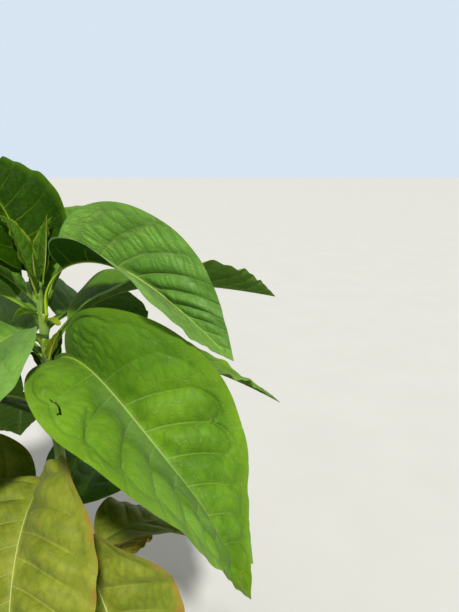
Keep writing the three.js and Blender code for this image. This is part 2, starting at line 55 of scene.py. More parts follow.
# ------------------------------------------------------------------ named sizes (metres, degrees)
STEM_TOP = 1.094          # height of the stem under the growing tip
FULL_HEIGHT = 1.168       # height that the taper and the lean are reckoned over
LEAN_X, LEAN_Y = -0.004, -0.004
LOBE = 0.022              # how far the blade's shoulders reach back
FORWARD = {"leaf_01": 0.33, "leaf_06": 0.20}   # how far side veins run forward, 0.2 elsewhere
ROUND, TAPER = 0.60, 1.08
PEAK = ROUND / (ROUND + TAPER)
OUTLINE_MAX = PEAK ** ROUND * (1 - PEAK) ** TAPER
STEPS = 160
FIELDS = "z az L W el0 elm tau kink tk wk fbL fbR fmL fmR tf curl roll sweep xp".split()
LEAVES = {
    "young_leaf_1": (1084.4, -75, 78, 12, 60.3, 61.4, 0.666, -5.7, 0.8, 0.1, 20.3, 72.7, 33.7, 57.7, 0.6, 2, -15.1, 13.9, 0.1),
    "young_leaf_2": (1074.4, 79, 150, 29, 60.2, 80.1, 0.581, 28, 0.84, 0.05, 50.1, 41.3, 46.8, 44.1, 0.6, 2, -4.5, -14.9, 0.1),
    "young_leaf_3": (1082.7, -188.2, 160, 29, 71.8, 70.7, 0.674, 43.8, 0.8, 0.05, 35.3, 54.9, 44.4, 42.8, 0.6, 2, -3.9, -12.5, 0.1),
    "young_leaf_4": (1079.3, 2.6, 145, 18, 73.2, 90.3, 0.596, 7.6, 0.8, 0.1, 61.1, 59.9, 54.9, 54.4, 0.6, 2, -2.3, -8.4, 0.1),
    "young_leaf_5": (1056.6, -86.9, 72, 13, 56.3, 65.9, 0.613, 12.9, 0.75, 0.06, 60.4, 63.3, 52.4, 44.9, 0.6, 2, -1.1, -6.1, 0.1),
    "upper_leaf_1": (1062.1, 135.8, 440, 120, 72.2, 22.1, 0.442, 12.1, 0.7, 0.08, 21.6, 13.7, 48.8, 16.4, 0.45, 1, -28.7, 4, 0.12),
    "upper_leaf_2": (1048.7, -158.3, 240, 48, 53.5, 29.5, 0.451, 42.2, 0.7, 0.08, 29.8, 35.7, 47.9, 42.9, 0.6, 2, -9.3, 26.8, 0.12),
    "upper_leaf_3": (1028.3, 69, 400, 105, 52.7, 19.1, 0.513, 18.8, 0.65, 0.07, 40.4, 49, 24.8, 22.3, 0.4, 1, -2.4, -8.9, 0.12),
    "upper_leaf_4": (1018.3, -180.2, 430, 120, 39.1, -7.8, 0.379, 5.1, 0.6, 0.06, 52.6, 54.8, 22.9, 22.1, 0.4, 1, -16.5, -43.2, 0.13),
    "leaf_01": (1014.3, -22.3, 542.4, 124.2, 88, -32.3, 0.327, 12.5, 0.409, 0.06, 84, 51.5, 45, 29.1, 0.5, 0, 36, 9.8, 0.25),
    "leaf_02": (980.5, 79.8, 520, 140, 10, -23.9, 0.299, 28.4, 0.6, 0.06, 41.7, 34.6, 26, -3.9, 0.36, 0.8, 7.1, 3.2, 0.13),
    "leaf_03": (961.6, -110.5, 540, 145, 49.8, -34, 0.174, -0, 0.62, 0.06, 19.6, 25, 3.7, 31.8, 0.34, 0.8, -4.2, -27.9, 0.13),
    "leaf_04": (939.9, 19.1, 600, 150, 60.7, -17.6, 0.33, 0.3, 0.66, 0.06, 16.5, 14.3, 8.8, 30.7, 0.34, 0.8, -12, 11.3, 0.13),
    "leaf_05": (910.1, 143.4, 600, 155, 29.6, -32.3, 0.408, 50, 0.58, 0.06, 25.7, 24.2, 9, 6.2, 0.34, 0.8, -43.3, 16.4, 0.13),
    "leaf_06": (867.1, -44.1, 721.6, 175.5, 75.5, -40.3, 0.188, 23.1, 0.731, 0.035, 88, 7.5, -20, 48.6, 0.446, 0.01, 22.8, 28.2, 0.17),
    "leaf_07": (842.7, 41.8, 630, 160, 20.6, -6.8, 0.073, 23.3, 0.56, 0.06, 36.2, 16, 23.6, 1.5, 0.32, 0.8, -25.6, -46.2, 0.13),
    "leaf_08": (791.8, -155.7, 620, 160, 54.1, -42.2, 0.272, 16.7, 0.54, 0.06, 61.1, 55.6, 13.2, 10.6, 0.32, 0.8, -9.1, 14, 0.13),
    "leaf_09": (755.6, -27.5, 620, 158, 52, -30.6, 0.258, 29.7, 0.56, 0.05, 59.6, 52.6, 13.7, 2.1, 0.32, 0.8, 11.3, 16.8, 0.13),
    "leaf_10": (712.2, 127.3, 630, 165, 22.1, -41.9, 0.364, 11.3, 0.55, 0.06, 34.2, 26.1, 19.6, -2.6, 0.3, 0.8, -22.4, -10.4, 0.13),
    "leaf_11": (630.7, -95.9, 606.4, 170, 40, -57.4, 0.285, 54.9, 0.698, 0.06, 52.2, 9, -10, 4.6, 0.394, 0.01, 1.4, 35, 0.13),
    "leaf_12": (596.9, 66.8, 610, 160, 50.6, -1.4, 0.27, 18.5, 0.54, 0.06, 7.5, 7.6, 9.4, -16.8, 0.3, 0.8, 13.1, 5.8, 0.13),
    "leaf_13": (548.8, 174.6, 590, 155, 17.3, -33.5, 0.412, 44.6, 0.52, 0.06, 42.6, 33.9, 24.8, 40.3, 0.3, 0.8, -24.5, 18, 0.13),
    "leaf_14": (474.9, -54.4, 588.9, 155.8, 31.1, -48.6, 0.12, 19.7, 0.549, 0.06, 79.7, 29.8, 3.9, 12.3, 0.3, 0.9, -0, 33.3, 0.13),
    "leaf_15": (449.7, 84.5, 550, 145, 56.6, -12.3, 0.164, 19.3, 0.5, 0.06, 13.7, 3.2, 19, -4.9, 0.3, 0.9, 11.8, 6.9, 0.13),
    "leaf_16": (397.3, -144.5, 530, 138, 53.9, -24.5, 0.316, 29.5, 0.5, 0.06, 14.7, 14.4, 10, -3.3, 0.3, 1, 2, -11.2, 0.13),
    "leaf_17": (363.7, 40.6, 510, 132, 25.6, -32.2, 0.319, 23.8, 0.5, 0.06, 20.6, 25.4, -7.2, 17.3, 0.3, 1, 0.4, 12.1, 0.13),
    "leaf_18": (308.7, 162.3, 480, 122, 18.4, -24.8, 0.266, 20.5, 0.5, 0.06, 34.8, 33.3, 7.6, 10.5, 0.3, 1, 13.1, -2.2, 0.13),
    "leaf_19": (266.2, -90.4, 440, 110, 48, -10.9, 0.269, 24, 0.5, 0.06, 17.6, 6.4, 14.6, 4.7, 0.3, 1.2, 11.2, 15.7, 0.13),
    "leaf_20": (236.9, 73.8, 400, 98, 25, -13.2, 0.199, 11.7, 0.5, 0.06, 23, 24.8, 2.9, 11.4, 0.3, 1.5, -18.4, -6.1, 0.13),
    "withered_leaf_1": (178.2, -221.4, 330, 58, 41.2, -49.3, 0.4, -13.4, 0.5, 0.08, 19.4, 10.2, 62.9, 6.6, 0.3, 3, -13, -25.5, 0.12),
    "withered_leaf_2": (147, -11.1, 260, 48, 10.2, -51, 0.366, -29.2, 0.75, 0.08, 53, 60, 58.4, 63.9, 0.3, 3, 19.7, -8.9, 0.12),
    "withered_leaf_3": (99.2, 107.3, 190, 36, 10, -48.2, 0.32, -48.1, 0.7, 0.08, 69.3, 62.6, 64.9, 66.1, 0.3, 3, 1.6, 13.3, 0.12),
    "shoot_leaf_1": (1013.2, 99.9, 80, 17, 45.9, 8.2, 0.544, 80.8, 0.7, 0.06, 3.8, 20.7, 51.5, 36.5, 0.6, 2, 26.8, 6.3, 0.1),
    "shoot_leaf_2": (1016.2, -118, 62, 14, 41.2, -24.1, 0.56, 20.5, 0.7, 0.06, 13.4, 22.5, 68.7, 56.9, 0.6, 2, -35.1, -18, 0.1),
    "shoot_leaf_3": (1006.2, -41.2, 85, 13, 12, -7.7, 0.346, -21.1, 0.7, 0.06, 21.4, 51, 33.8, 36.4, 0.6, 2, -21.1, -26.6, 0.1),
    "shoot_leaf_4": (913.2, -45.3, 105, 16, 64.5, 43.4, 0.483, -0.6, 0.7, 0.06, 13.4, 3.8, 35.8, 48.7, 0.6, 2, 25.4, 5.5, 0.1),
    "shoot_leaf_5": (956.3, -158.9, 70, 15, 19.7, 0.6, 0.535, 22.8, 0.7, 0.06, 28.6, 43.5, 26.3, 47.8, 0.6, 2, -12, 36.3, 0.1),
    "shoot_leaf_6": (875.8, -211.6, 75, 15, 56.3, 28.3, 0.465, 22.6, 0.7, 0.06, 17.6, 3.6, 64.3, 34.6, 0.6, 2, 1.5, 4.3, 0.1),
    "shoot_leaf_7": (881.4, 61, 90, 17, 73, 53.7, 0.499, 35.9, 0.7, 0.06, 12, 0, 38, 52.5, 0.6, 2, 5.7, 31.3, 0.1),
    "shoot_leaf_8": (750.1, 50.1, 80, 15, 34.9, 55.8, 0.594, 25.5, 0.7, 0.06, 17.4, 25, 23.8, 6.6, 0.6, 2, 5.4, -25.6, 0.1),
}
for key in LEAVES:
    LEAVES[key] = dict(zip(FIELDS, LEAVES[key]))
    for f in ("z", "L", "W"):
        LEAVES[key][f] *= 0.001


def rnd(*k):
    """A fixed number between 0 and 1 for a few whole numbers."""
    v = 0.0
    for i, a in enumerate(k):
        v += a * (12.9898, 78.233, 37.719, 9.151)[i]
    v = math.sin(v) * 43758.5453
    return v - math.floor(v)


def smooth(x):
    k = np.clip(x, 0, 1)
    return k * k * (3 - 2 * k)


def ramp(x, a, b):
    return smooth((x - a) / (b - a))


# ------------------------------------------------------------------ the stem
def stem_centre(z):
    k = np.asarray(z, float) / FULL_HEIGHT
    return np.stack([LEAN_X * k ** 3 + 0.004 * np.sin(5.2 * k) * k, LEAN_Y * k * k + 0.003 * np.sin(4.1 * k + 0.8) * k], -1)


def stem_radius(z):
    z = np.asarray(z, float)
    k = np.clip(z / FULL_HEIGHT, 0, 1)
    return 0.0165 - 0.0105 * k ** 1.35 + 0.0085 * np.exp(-z / 0.026)


# ------------------------------------------------------------------ numbers that look random but are fixed
def hash2(ix, iy, seed):
    v = np.sin(ix * 127.1 + iy * 311.7 + seed * 74.7) * 43758.5453
    return v - np.floor(v)


def value_noise(x, y, seed):
    ix, iy = np.floor(x), np.floor(y)
    fx, fy = smooth(x - ix), smooth(y - iy)
    a, b = hash2(ix, iy, seed), hash2(ix + 1, iy, seed)
    c, d = hash2(ix, iy + 1, seed), hash2(ix + 1, iy + 1, seed)
    return (a + (b - a) * fx) * (1 - fy) + (c + (d - c) * fx) * fy


def cells(x, y, seed, jitter=0.8):
    """How deep a point lies inside its cell (0 on a border) and the cell's own number."""
    ix, iy = np.floor(x), np.floor(y)
    d1 = np.full(x.shape, 9.0)
    d2 = np.full(x.shape, 9.0)
    own = np.zeros(x.shape)
    for dx in (-1, 0, 1):
        for dy in (-1, 0, 1):
            cx, cy = ix + dx, iy + dy
            px = cx + 0.5 + jitter * (hash2(cx, cy, seed) - 0.5)
            py = cy + 0.5 + jitter * (hash2(cx, cy, seed + 5.3) - 0.5)
            d = np.hypot(x - px, y - py)
            near = d < d1
            d2 = np.where(near, d1, np.minimum(d2, d))
            own = np.where(near, hash2(cx, cy, seed + 9.1), own)
            d1 = np.where(near, d, d1)
    return d2 - d1, own


# ------------------------------------------------------------------ a leaf's middle surface
class Leaf:
    def __init__(self, name):
        self.name = name
        self.p = p = LEAVES[name]
        c = stem_centre(p["z"])
        # these shoots have no ledge of the stem to stand on, so their feet start inside its skin
        self.r0 = float(stem_radius(p["z"])) + (-0.0010 if name in ("shoot_leaf_4", "shoot_leaf_6", "shoot_leaf_7", "shoot_leaf_8") else 0.0022)
        a0 = p["az"] * DEG
        at = np.array([c[0] + self.r0 * math.cos(a0), c[1] + self.r0 * math.sin(a0), p["z"]])
        pts = [at.copy()]
        for i in range(STEPS):
            t = (i + 0.5) / STEPS
            e, a = float(self.rise(t)), float(self.heading(t))
            at = at + p["L"] / STEPS * np.array([math.cos(e) * math.cos(a), math.cos(e) * math.sin(a), math.sin(e)])
            pts.append(at.copy())
        self.pts = np.array(pts)

    def rise(self, t):
        p = self.p
        return (p["elm"] + (p["el0"] - p["elm"]) * np.exp(-((t / p["tau"]) ** 1.3)) - p["kink"] / (1 + np.exp(-(t - p["tk"]) / p["wk"]))) * DEG

    def heading(self, t):
        return (self.p["az"] + self.p["sweep"] * t ** 1.5) * DEG

    def margin(self, u, wing_full):
        p = self.p
        v = np.clip((u - p["xp"]) / (1 - p["xp"]), 0, 1)
        m = v + 4 * FORWARD.get(self.name, 0.20) * v * (1 - v) * (1.35 - v) - LOBE * (1 - v) ** 8
        mm = np.clip((m + LOBE) / (1 + LOBE), 0, 1)
        blade = np.where(u > p["xp"], p["W"] * mm ** ROUND * (1 - mm) ** TAPER / OUTLINE_MAX, 0)
        wing = 0.0012 + 0.030 * p["W"] / 0.16 * (0.42 * wing_full * np.exp(-u / 0.03) + (0.07 if self.name == "leaf_01" else 0.28)) * (1 - np.clip(u / 0.9, 0, 1))
        s = np.where(u > p["xp"], p["xp"] + (1 - p["xp"]) * m, u - LOBE * (1 - p["xp"]) * np.clip((u - p["xp"] + 0.02) / 0.02, 0, 1))
        return s * p["L"], np.hypot(blade, wing * (1 - ramp(u, 0.85, 1.0)))

    def section(self, t, d, side):
        """Across and up offsets of a point d from the midrib, and its slope."""
        p = self.p
        fb, fm = (p["fbL"], p["fmL"]) if side > 0 else (p["fbR"], p["fmR"])
        fold = (fm + (fb - fm) * np.exp(-((np.clip(t - p["xp"], 0, None) / p["tf"]) ** 1.6))) * DEG * smooth(t / 0.09)
        hug = np.exp(-((t / 0.045) ** 2))
        k = p["curl"] / p["W"] * 0.16 * (1 - hug) - hug / (self.r0 + 0.001) + 1e-6
        x = (np.sin(fold) - np.sin(fold - k * d)) / k
        z = (np.cos(fold - k * d) - np.cos(fold)) / k
        return x, z, fold - k * d

    def place(self, s, d, side):
        """Point, up direction and direction to the margin for arrays s and d."""
        p = self.p
        t = np.clip(s / p["L"], 0, 1)
        f = t * STEPS
        i = np.minimum(f.astype(int), STEPS - 1)
        c = self.pts[i] + (self.pts[i + 1] - self.pts[i]) * (f - i)[..., None]
        e, a = self.rise(t), self.heading(t)
        b0 = np.stack([-np.sin(a), np.cos(a), 0 * a], -1)
        n0 = np.stack([-np.sin(e) * np.cos(a), -np.sin(e) * np.sin(a), np.cos(e)], -1)
        ro = (p["roll"] * DEG * t)[..., None]
        b = np.cos(ro) * b0 + np.sin(ro) * n0
        n = -np.sin(ro) * b0 + np.cos(ro) * n0
        x, z, g = self.section(t, d, side)
        up = n * np.cos(g)[..., None] - side * b * np.sin(g)[..., None]
        out = side * b * np.cos(g)[..., None] + n * np.sin(g)[..., None]
        return c + side * b * x[..., None] + n * z[..., None], up, out, t


# how each leaf is finished: side veins a side, size and height of the puckers, height of
# the swell between veins, waviness of the margin, depth of the loop creases, material
def style_of(name):
    i = list(LEAVES).index(name)
    s = dict(veins=10 + int(3 * rnd(i, 1)), cell=0.0150, pucker=0.0013, swell=0.0042, wave=0.0055, loop=0.0009, mat="mid", lod=1, sag=0.006, seed=i + 1.0, thick=0.0007, ragged=0.0)
    if name == "leaf_01":
        s.update(veins=10, cell=0.0180, pucker=0.0014, swell=0.0044, wave=0.003, loop=0.0005, mat="cool", lod=0, sag=0.004)
    elif name == "leaf_06":
        s.update(veins=10, cell=0.0185, pucker=0.0016, swell=0.0072, wave=0.003, loop=0.0028, mat="warm", lod=0, sag=0.009)
    elif name in ("leaf_11", "leaf_14"):
        s.update(lod=3, mat="olive", cell=0.018, pucker=0.0016, swell=0.013, wave=0.0085, loop=0.002, sag=0.013)
    elif name in ("leaf_13", "leaf_16", "leaf_17", "leaf_18"):
        s.update(mat="olive", swell=0.006, wave=0.007)
    elif name in ("leaf_19", "leaf_20"):
        s.update(mat="yellow", swell=0.007, wave=0.010, ragged=0.35)
    elif name.startswith("withered"):
        s.update(veins=7, cell=0.012, pucker=0.0036, swell=0.008, wave=0.014, loop=0.0, mat="withered", lod=2, sag=0.012, ragged=1.0)
    elif name.startswith("upper"):
        # upper_leaf_1 takes the deep tint, painted dark as painted shade
        s.update(veins=9, cell=0.011, pucker=0.0016, swell=0.0035, wave=0.006, mat="deep" if name == "upper_leaf_1" else "fresh")
        if name == "upper_leaf_3":
            s.update(wave=0.003, sag=0.002)
    elif name.startswith("young"):
        s.update(veins=8, cell=0.006, pucker=0.0006, swell=0.0014, wave=0.0034, loop=0.0, mat="young", lod=2, sag=0.001, thick=0.0006)
    elif name.startswith("shoot"):
        s.update(veins=7, cell=0.006, pucker=0.0004, swell=0.0011, wave=0.0030, loop=0.0, mat="lime" if name[-1] in "34" else "young", lod=2, sag=0.001, thick=0.0006)
    elif int(name[-2:]) % 3 == 0:
        s.update(mat="soft")
    elif int(name[-2:]) % 3 == 1:
        s.update(mat="warm")
    if name.startswith(("young", "shoot")):
        small = min(1.0, LEAVES[name]["L"] / 0.15) ** 1.5
        for f in ("pucker", "swell", "wave", "sag"):
            s[f] *= small
    return s


# where the rows stand between two side veins, closest on the veins of either side
PHASES = {
    0: [0, .02, .055, .11, .17, .23, .29, .35, .41, .455, .485, .5, .515, .545, .60, .66, .73, .80, .88, .945],
    1: [0, .05, .17, .33, .45, .5, .55, .67, .83, .95],
    2: [0, .08, .25, .42, .5, .58, .75, .92],
    3: [0, .03, .08, .15, .24, .33, .42, .47, .5, .53, .58, .65, .76, .88],
}
COLUMNS = {0: 60, 1: 20, 2: 12, 3: 36}
RIB_COLUMNS = [0.0, 0.28, 0.55, 0.80, 1.0, 1.45]
# a short tear in the largest leaf: points along the leaf and out from its midrib
CREASE = [(0.284, 0.075), (0.300, 0.094), (0.330, 0.125), (0.352, 0.145), (0.369, 0.157)]
FOLD = [(0.470, 0.030), (0.520, 0.040), (0.570, 0.046), (0.610, 0.042)]
TEAR = [(0.2400, 0.1180), (0.2500, 0.1150), (0.2610, 0.1190), (0.2720, 0.1262), (0.2765, 0.1300), (0.2750, 0.1345)]


def vein_number(v, n):
    return n * (0.86 * v ** 0.90 + 0.14 * v * v)


def leaf_grid(leaf, st):
    """u of each row, lined up with the side veins."""
    p, n = leaf.p, st["veins"]
    vv = np.linspace(0, 1, 2000)
    num = vein_number(vv, n)
    stops = np.array([k + f for k in range(n) for f in PHASES[st["lod"]]])
    v = np.interp(stops, num, vv)
    v = v[v < 0.992]
    blade = p["xp"] + (1 - p["xp"]) * v
    foot = np.linspace(0, 1, {0: 26, 1: 13, 2: 8, 3: 18}[st["lod"]], endpoint=False) ** 0.9 * p["xp"]
    return np.concatenate([foot, blade, [0.9965]])


def to_line(x, y, line):
    """Distance of each point to a line of short pieces."""
    best = np.full(x.shape, 9.0)
    for (ax, ay), (bx, by) in zip(line, line[1:]):
        k = np.clip(((x - ax) * (bx - ax) + (y - ay) * (by - ay)) / ((bx - ax) ** 2 + (by - ay) ** 2), 0, 1)
        best = np.minimum(best, np.hypot(x - ax - k * (bx - ax), y - ay - k * (by - ay)))
    return best


def rib_width(p, u):
    """Half width of the midrib, which is also the stalk."""
    size = min(1.0, p["W"] / 0.16)
    thin = 0.78 if p is LEAVES["leaf_01"] else 1.0
    return thin * (0.0050 * (1 - u) ** 1.15 + 0.0006) * (0.30 + 0.70 * size)


def make_leaf(name):
    leaf = Leaf(name)
    p, st = leaf.p, style_of(name)
    rows = leaf_grid(leaf, st)
    nr = len(rows)
    L, n_veins, seed = p["L"], st["veins"], st["seed"]
    size = min(1.0, p["W"] / 0.16)
    rib = rib_width(p, rows)
    grids = {}
    for side in (1, -1):
        u = np.repeat(rows[:, None], len(RIB_COLUMNS) + COLUMNS[st["lod"]], 1)
        ms, mw = leaf.margin(rows, 0.6 if name == "leaf_01" else 1.0)
        uneven = 1 + 0.035 * (value_noise(rows * 9 + seed, 0 * rows + side * 3.3, seed) - 0.5) + (value_noise(rows * 30, 0 * rows + side, seed + 1) - 0.5) * {"young": 0.02, "lime": 0.02, "olive": 0.018, "yellow": 0.03, "withered": 0.06}.get(st["mat"], 0.0)
        mw = mw * uneven
        rib_q = np.clip(np.outer(rib / (1.12 * np.maximum(mw, 1e-4)), RIB_COLUMNS), 0, None)
        rib_q = np.minimum(rib_q, np.linspace(0, .55, len(RIB_COLUMNS))[None] + 1e-6)
        rest = np.linspace(0, 1, COLUMNS[st["lod"]] + 1)[1:]
        rest = rest * (1 + 0.10 * (1 - rest))
        q = np.concatenate([rib_q, rib_q[:, -1:] + (1 - rib_q[:, -1:]) * rest[None]], 1)
        ms, mw = ms[:, None], mw[:, None]
        s0 = u * L
        c1 = s0 + 0.30 * (ms - s0)
        s = (1 - q) ** 2 * s0 + 2 * q * (1 - q) * c1 + q * q * ms
        d = 2 * q * (1 - q) * 0.56 * mw + q * q * mw
        # veins are numbered from the foot of the blade, and stand alternately on the two sides
        v = np.clip((u - p["xp"]) / (1 - p["xp"]), 0, 1)
        V = vein_number(v, n_veins) + (0.5 if side < 0 else 0.0)
        band = L * (1 - p["xp"]) / n_veins
        on = ramp(u, p["xp"] - 0.01, p["xp"] + 0.05) * (1 - ramp(u, 0.90, 1.0))
        point, up, out, t = leaf.place(s, d, side)
        k, fV = np.floor(V), V - np.floor(V)
        qe = ramp(q, 0.02, 0.24)
        h1, h2 = hash2(k, side + 2.0 + 0 * V, seed), hash2(k, side + 6.0 + 0 * V, seed + 1.7)
        # side veins join in loops inside the margin, and the blade swells inside each loop
        q_loop = 0.70 + 0.06 * (h2 - 0.5) + 0.13 * np.sin(math.pi * fV) ** 0.7
        inner = 1 - ramp(q, q_loop - 0.22, q_loop + 0.02)
        low_part = ramp(u, 0.42, 0.58) * (1 - ramp(u, 0.70, 0.88))
        swell = st["swell"] * (0.55 + 0.8 * h1) * np.sin(math.pi * fV) ** 0.85 * qe * (0.30 + 0.70 * inner) * on
        if name == "leaf_01":
            swell = swell * ((0.55 if side > 0 else 0.3) + (1.15 * low_part if side > 0 else 0.0)) * (1 - 0.5 * ramp(u, 0.72, 0.90))
        if name == "leaf_06":
            swell = swell * (0.6 + 0.9 * ramp(u, 0.28, 0.45))
        # ladder of small veins across each band, square to the side veins: the blade is
        # puckered between the rungs
        along = 0.82 * d + 0.57 * s
        cx = along / st["cell"] + 0.55 * value_noise(d / 0.03, V * 1.3, seed + 4.0) + 7.3 * side
        cy = V * band / (st["cell"] * 1.75) + 0.15 * np.sin(along / 0.02)
        if name == "leaf_01":
            # long windows between two side veins, some of them halved
            cx = along / st["cell"] + 0.30 * value_noise(along / 0.03, V * 1.3, seed + 4.0) + 0.37 * k
            cy = V + 0.06 * np.sin(along / 0.011)
            inside, own = cells(cx, cy, seed, 0.42)
            in2, own2 = cells(cx * 2.0 + 5.0, cy, seed + 21.0, 0.40)
            inside = np.minimum(inside, np.where(own > 0.62, in2 * 1.3, 9.0))
        elif name == "leaf_06":
            # shorter ones, less even
            cx = along / st["cell"] + 0.70 * value_noise(along / 0.035, V * 1.3, seed + 4.0) + 0.37 * k
            inside, own = cells(cx, V * 1.7 + 0.25 * value_noise(along / 0.02, V, seed + 6.0), seed, 0.66)
        else:
            inside, own = cells(cx, cy, seed, 0.72)
        amount = 0.40 + 1.2 * value_noise(d / 0.085 + 3 * side, s / 0.10 + seed, seed + 2)
        if name == "leaf_01":
            amount = (0.30 + 0.85 * np.exp(-(((u - 0.36) / 0.14) ** 2))) * (1.0 if side > 0 else 0.25)
        if name == "leaf_06":
            amount = amount * (0.45 + 2.1 * np.exp(-((s - 0.13) / 0.05) ** 2) * (side > 0)) * (1.0 if side > 0 else 0.45) * (1 - 0.35 * ramp(u, 0.30, 0.45))
        pucker = st["pucker"] * amount * (ramp(inside, 0.0, 0.50) - 0.55) * (0.5 + 1.0 * own) * ramp(q, 0.03, 0.14) * on * (1 - 0.80 * ramp(q, 0.80, 1.0))
        sag = st["sag"] * (value_noise(d / 0.075 + side * 4.1, s / 0.12, seed + 3.7) - 0.5) * 2 * ramp(q, 0.05, 0.6) * on
        wave = st["wave"] * ramp(q, 0.45, 1.0) ** 1.6 * (np.sin(math.pi * V * 0.9 + seed * 2.1 + side) * 0.7 + np.sin(math.pi * V * 1.9 + seed) * 0.45) * (0.25 + on * 0.75) * (1 - 0.6 * ramp(u, 0.68, 0.92)) * np.minimum(1, mw / (0.45 * p["W"]))
        loop = -st["loop"] * (0.3 + h1) * np.exp(-(((q - q_loop) * mw / 0.0050) ** 2)) * on * ramp(mw, 0.03, 0.08)
        groove = -0.0012 * np.exp(-((np.minimum(fV, 1 - fV) * band / 0.0030) ** 2)) * (1 - q) ** 0.6 * qe * on * size
        if name == "leaf_06" and side > 0:
            loop = loop * (1 + 1.4 * np.exp(-(((s - 0.42) / 0.06) ** 2)))
        if name == "leaf_06" and side < 0:
            # a curved crease across this half, and a fainter fold that runs along it
            gap = to_line(s, d, CREASE)
            loop = loop - 0.0042 * np.exp(-((gap / 0.0050) ** 2)) + 0.0020 * np.exp(-((gap / 0.016) ** 2))
            gap = to_line(s, d, FOLD)
            loop = loop + 0.0026 * np.exp(-((gap / 0.0045) ** 2))
        deep = 0.0080 if name == "leaf_06" and side < 0 else 0.0
        channel = -0.0016 * np.exp(-((d / 0.010) ** 2)) * (1 - rows[:, None]) * size - deep * ramp(d, 0.002, 0.030) * (1 - ramp(d, 0.030, 0.070)) * ramp(u, 0.25, 0.45) * (1 - ramp(u, 0.70, 0.95))
        crown = 0.0006 * np.exp(-((d / (rib[:, None] * 0.75)) ** 2)) * size
        relief = swell + pucker + sag + wave + loop + groove + channel + crown
        # underside: thickness of the blade, midrib and raised side veins
        dr = np.clip(d / rib[:, None], 0, 1)
        keel = rib[:, None] * 1.35 * np.sqrt(np.clip(1 - dr ** 2, 0, 1))
        vein_h = 0.0019 * (1 - q) ** 0.8 * np.exp(-((np.minimum(fV, 1 - fV) * band / 0.0021) ** 2)) * on * ramp(d / rib[:, None], 0.8, 1.3) * size * (1 - 0.6 * u)
        thick = st["thick"] + keel + vein_h
        thick = np.where(q > 0.985, st["thick"] * 0.6, thick)
        top = point + up * relief[..., None]
        low = top - up * thick[..., None]
        grids[side] = dict(top=top, low=low, q=q, V=V, d=d, u=u, s=s, dr=np.clip(d / rib[:, None], 0, 4), inside=inside, own=own, V_cm=V * band * 100)
    build_leaf(leaf, st, grids, nr)


def open_tear(keep, S, D, top, low):
    """Draws the ragged edge of the cells left out in to the line of the tear."""
    nr, w = S.shape
    pad = np.ones((nr + 1, w + 1), bool)
    pad[1:-1, 1:-1] = keep
    beside = pad[:-1, :-1].astype(int) + pad[1:, :-1] + pad[:-1, 1:] + pad[1:, 1:]
    top, low = top.copy(), low.copy()
    for i, j in zip(*np.nonzero((beside > 0) & (beside < 4))):
        if not (0 < i < nr - 1 and 0 < j < w - 1):
            continue
        here = np.array([S[i, j], -D[i, j]])
        best, near = 9.0, here
        for a, b in zip(TEAR, TEAR[1:]):
            a, b = np.array(a), np.array(b)
            k = np.clip(np.dot(here - a, b - a) / np.dot(b - a, b - a), 0, 1)
            c = a + k * (b - a)
            if np.hypot(*(here - c)) < best:
                best, near = np.hypot(*(here - c)), c
        if not 1e-6 < best < 0.009:
            continue
        goal = near + (here - near) / best * min(best, 0.0020)
        step = np.array([goal[0] - here[0], -(goal[1] - here[1])])
        m = np.array([[S[i + 1, j] - S[i - 1, j], S[i, j + 1] - S[i, j - 1]], [D[i + 1, j] - D[i - 1, j], D[i, j + 1] - D[i, j - 1]]]) / 2
        x = np.clip(np.linalg.solve(m, step), -1.6, 1.6)
        for src, dst in ((grid0, dst0) for grid0, dst0 in ((OLD_TOP[0], top), (OLD_TOP[1], low))):
            dst[i, j] = src[i, j] + x[0] * (src[i + 1, j] - src[i - 1, j]) / 2 + x[1] * (src[i, j + 1] - src[i, j - 1]) / 2
    return top, low


OLD_TOP = [None, None]


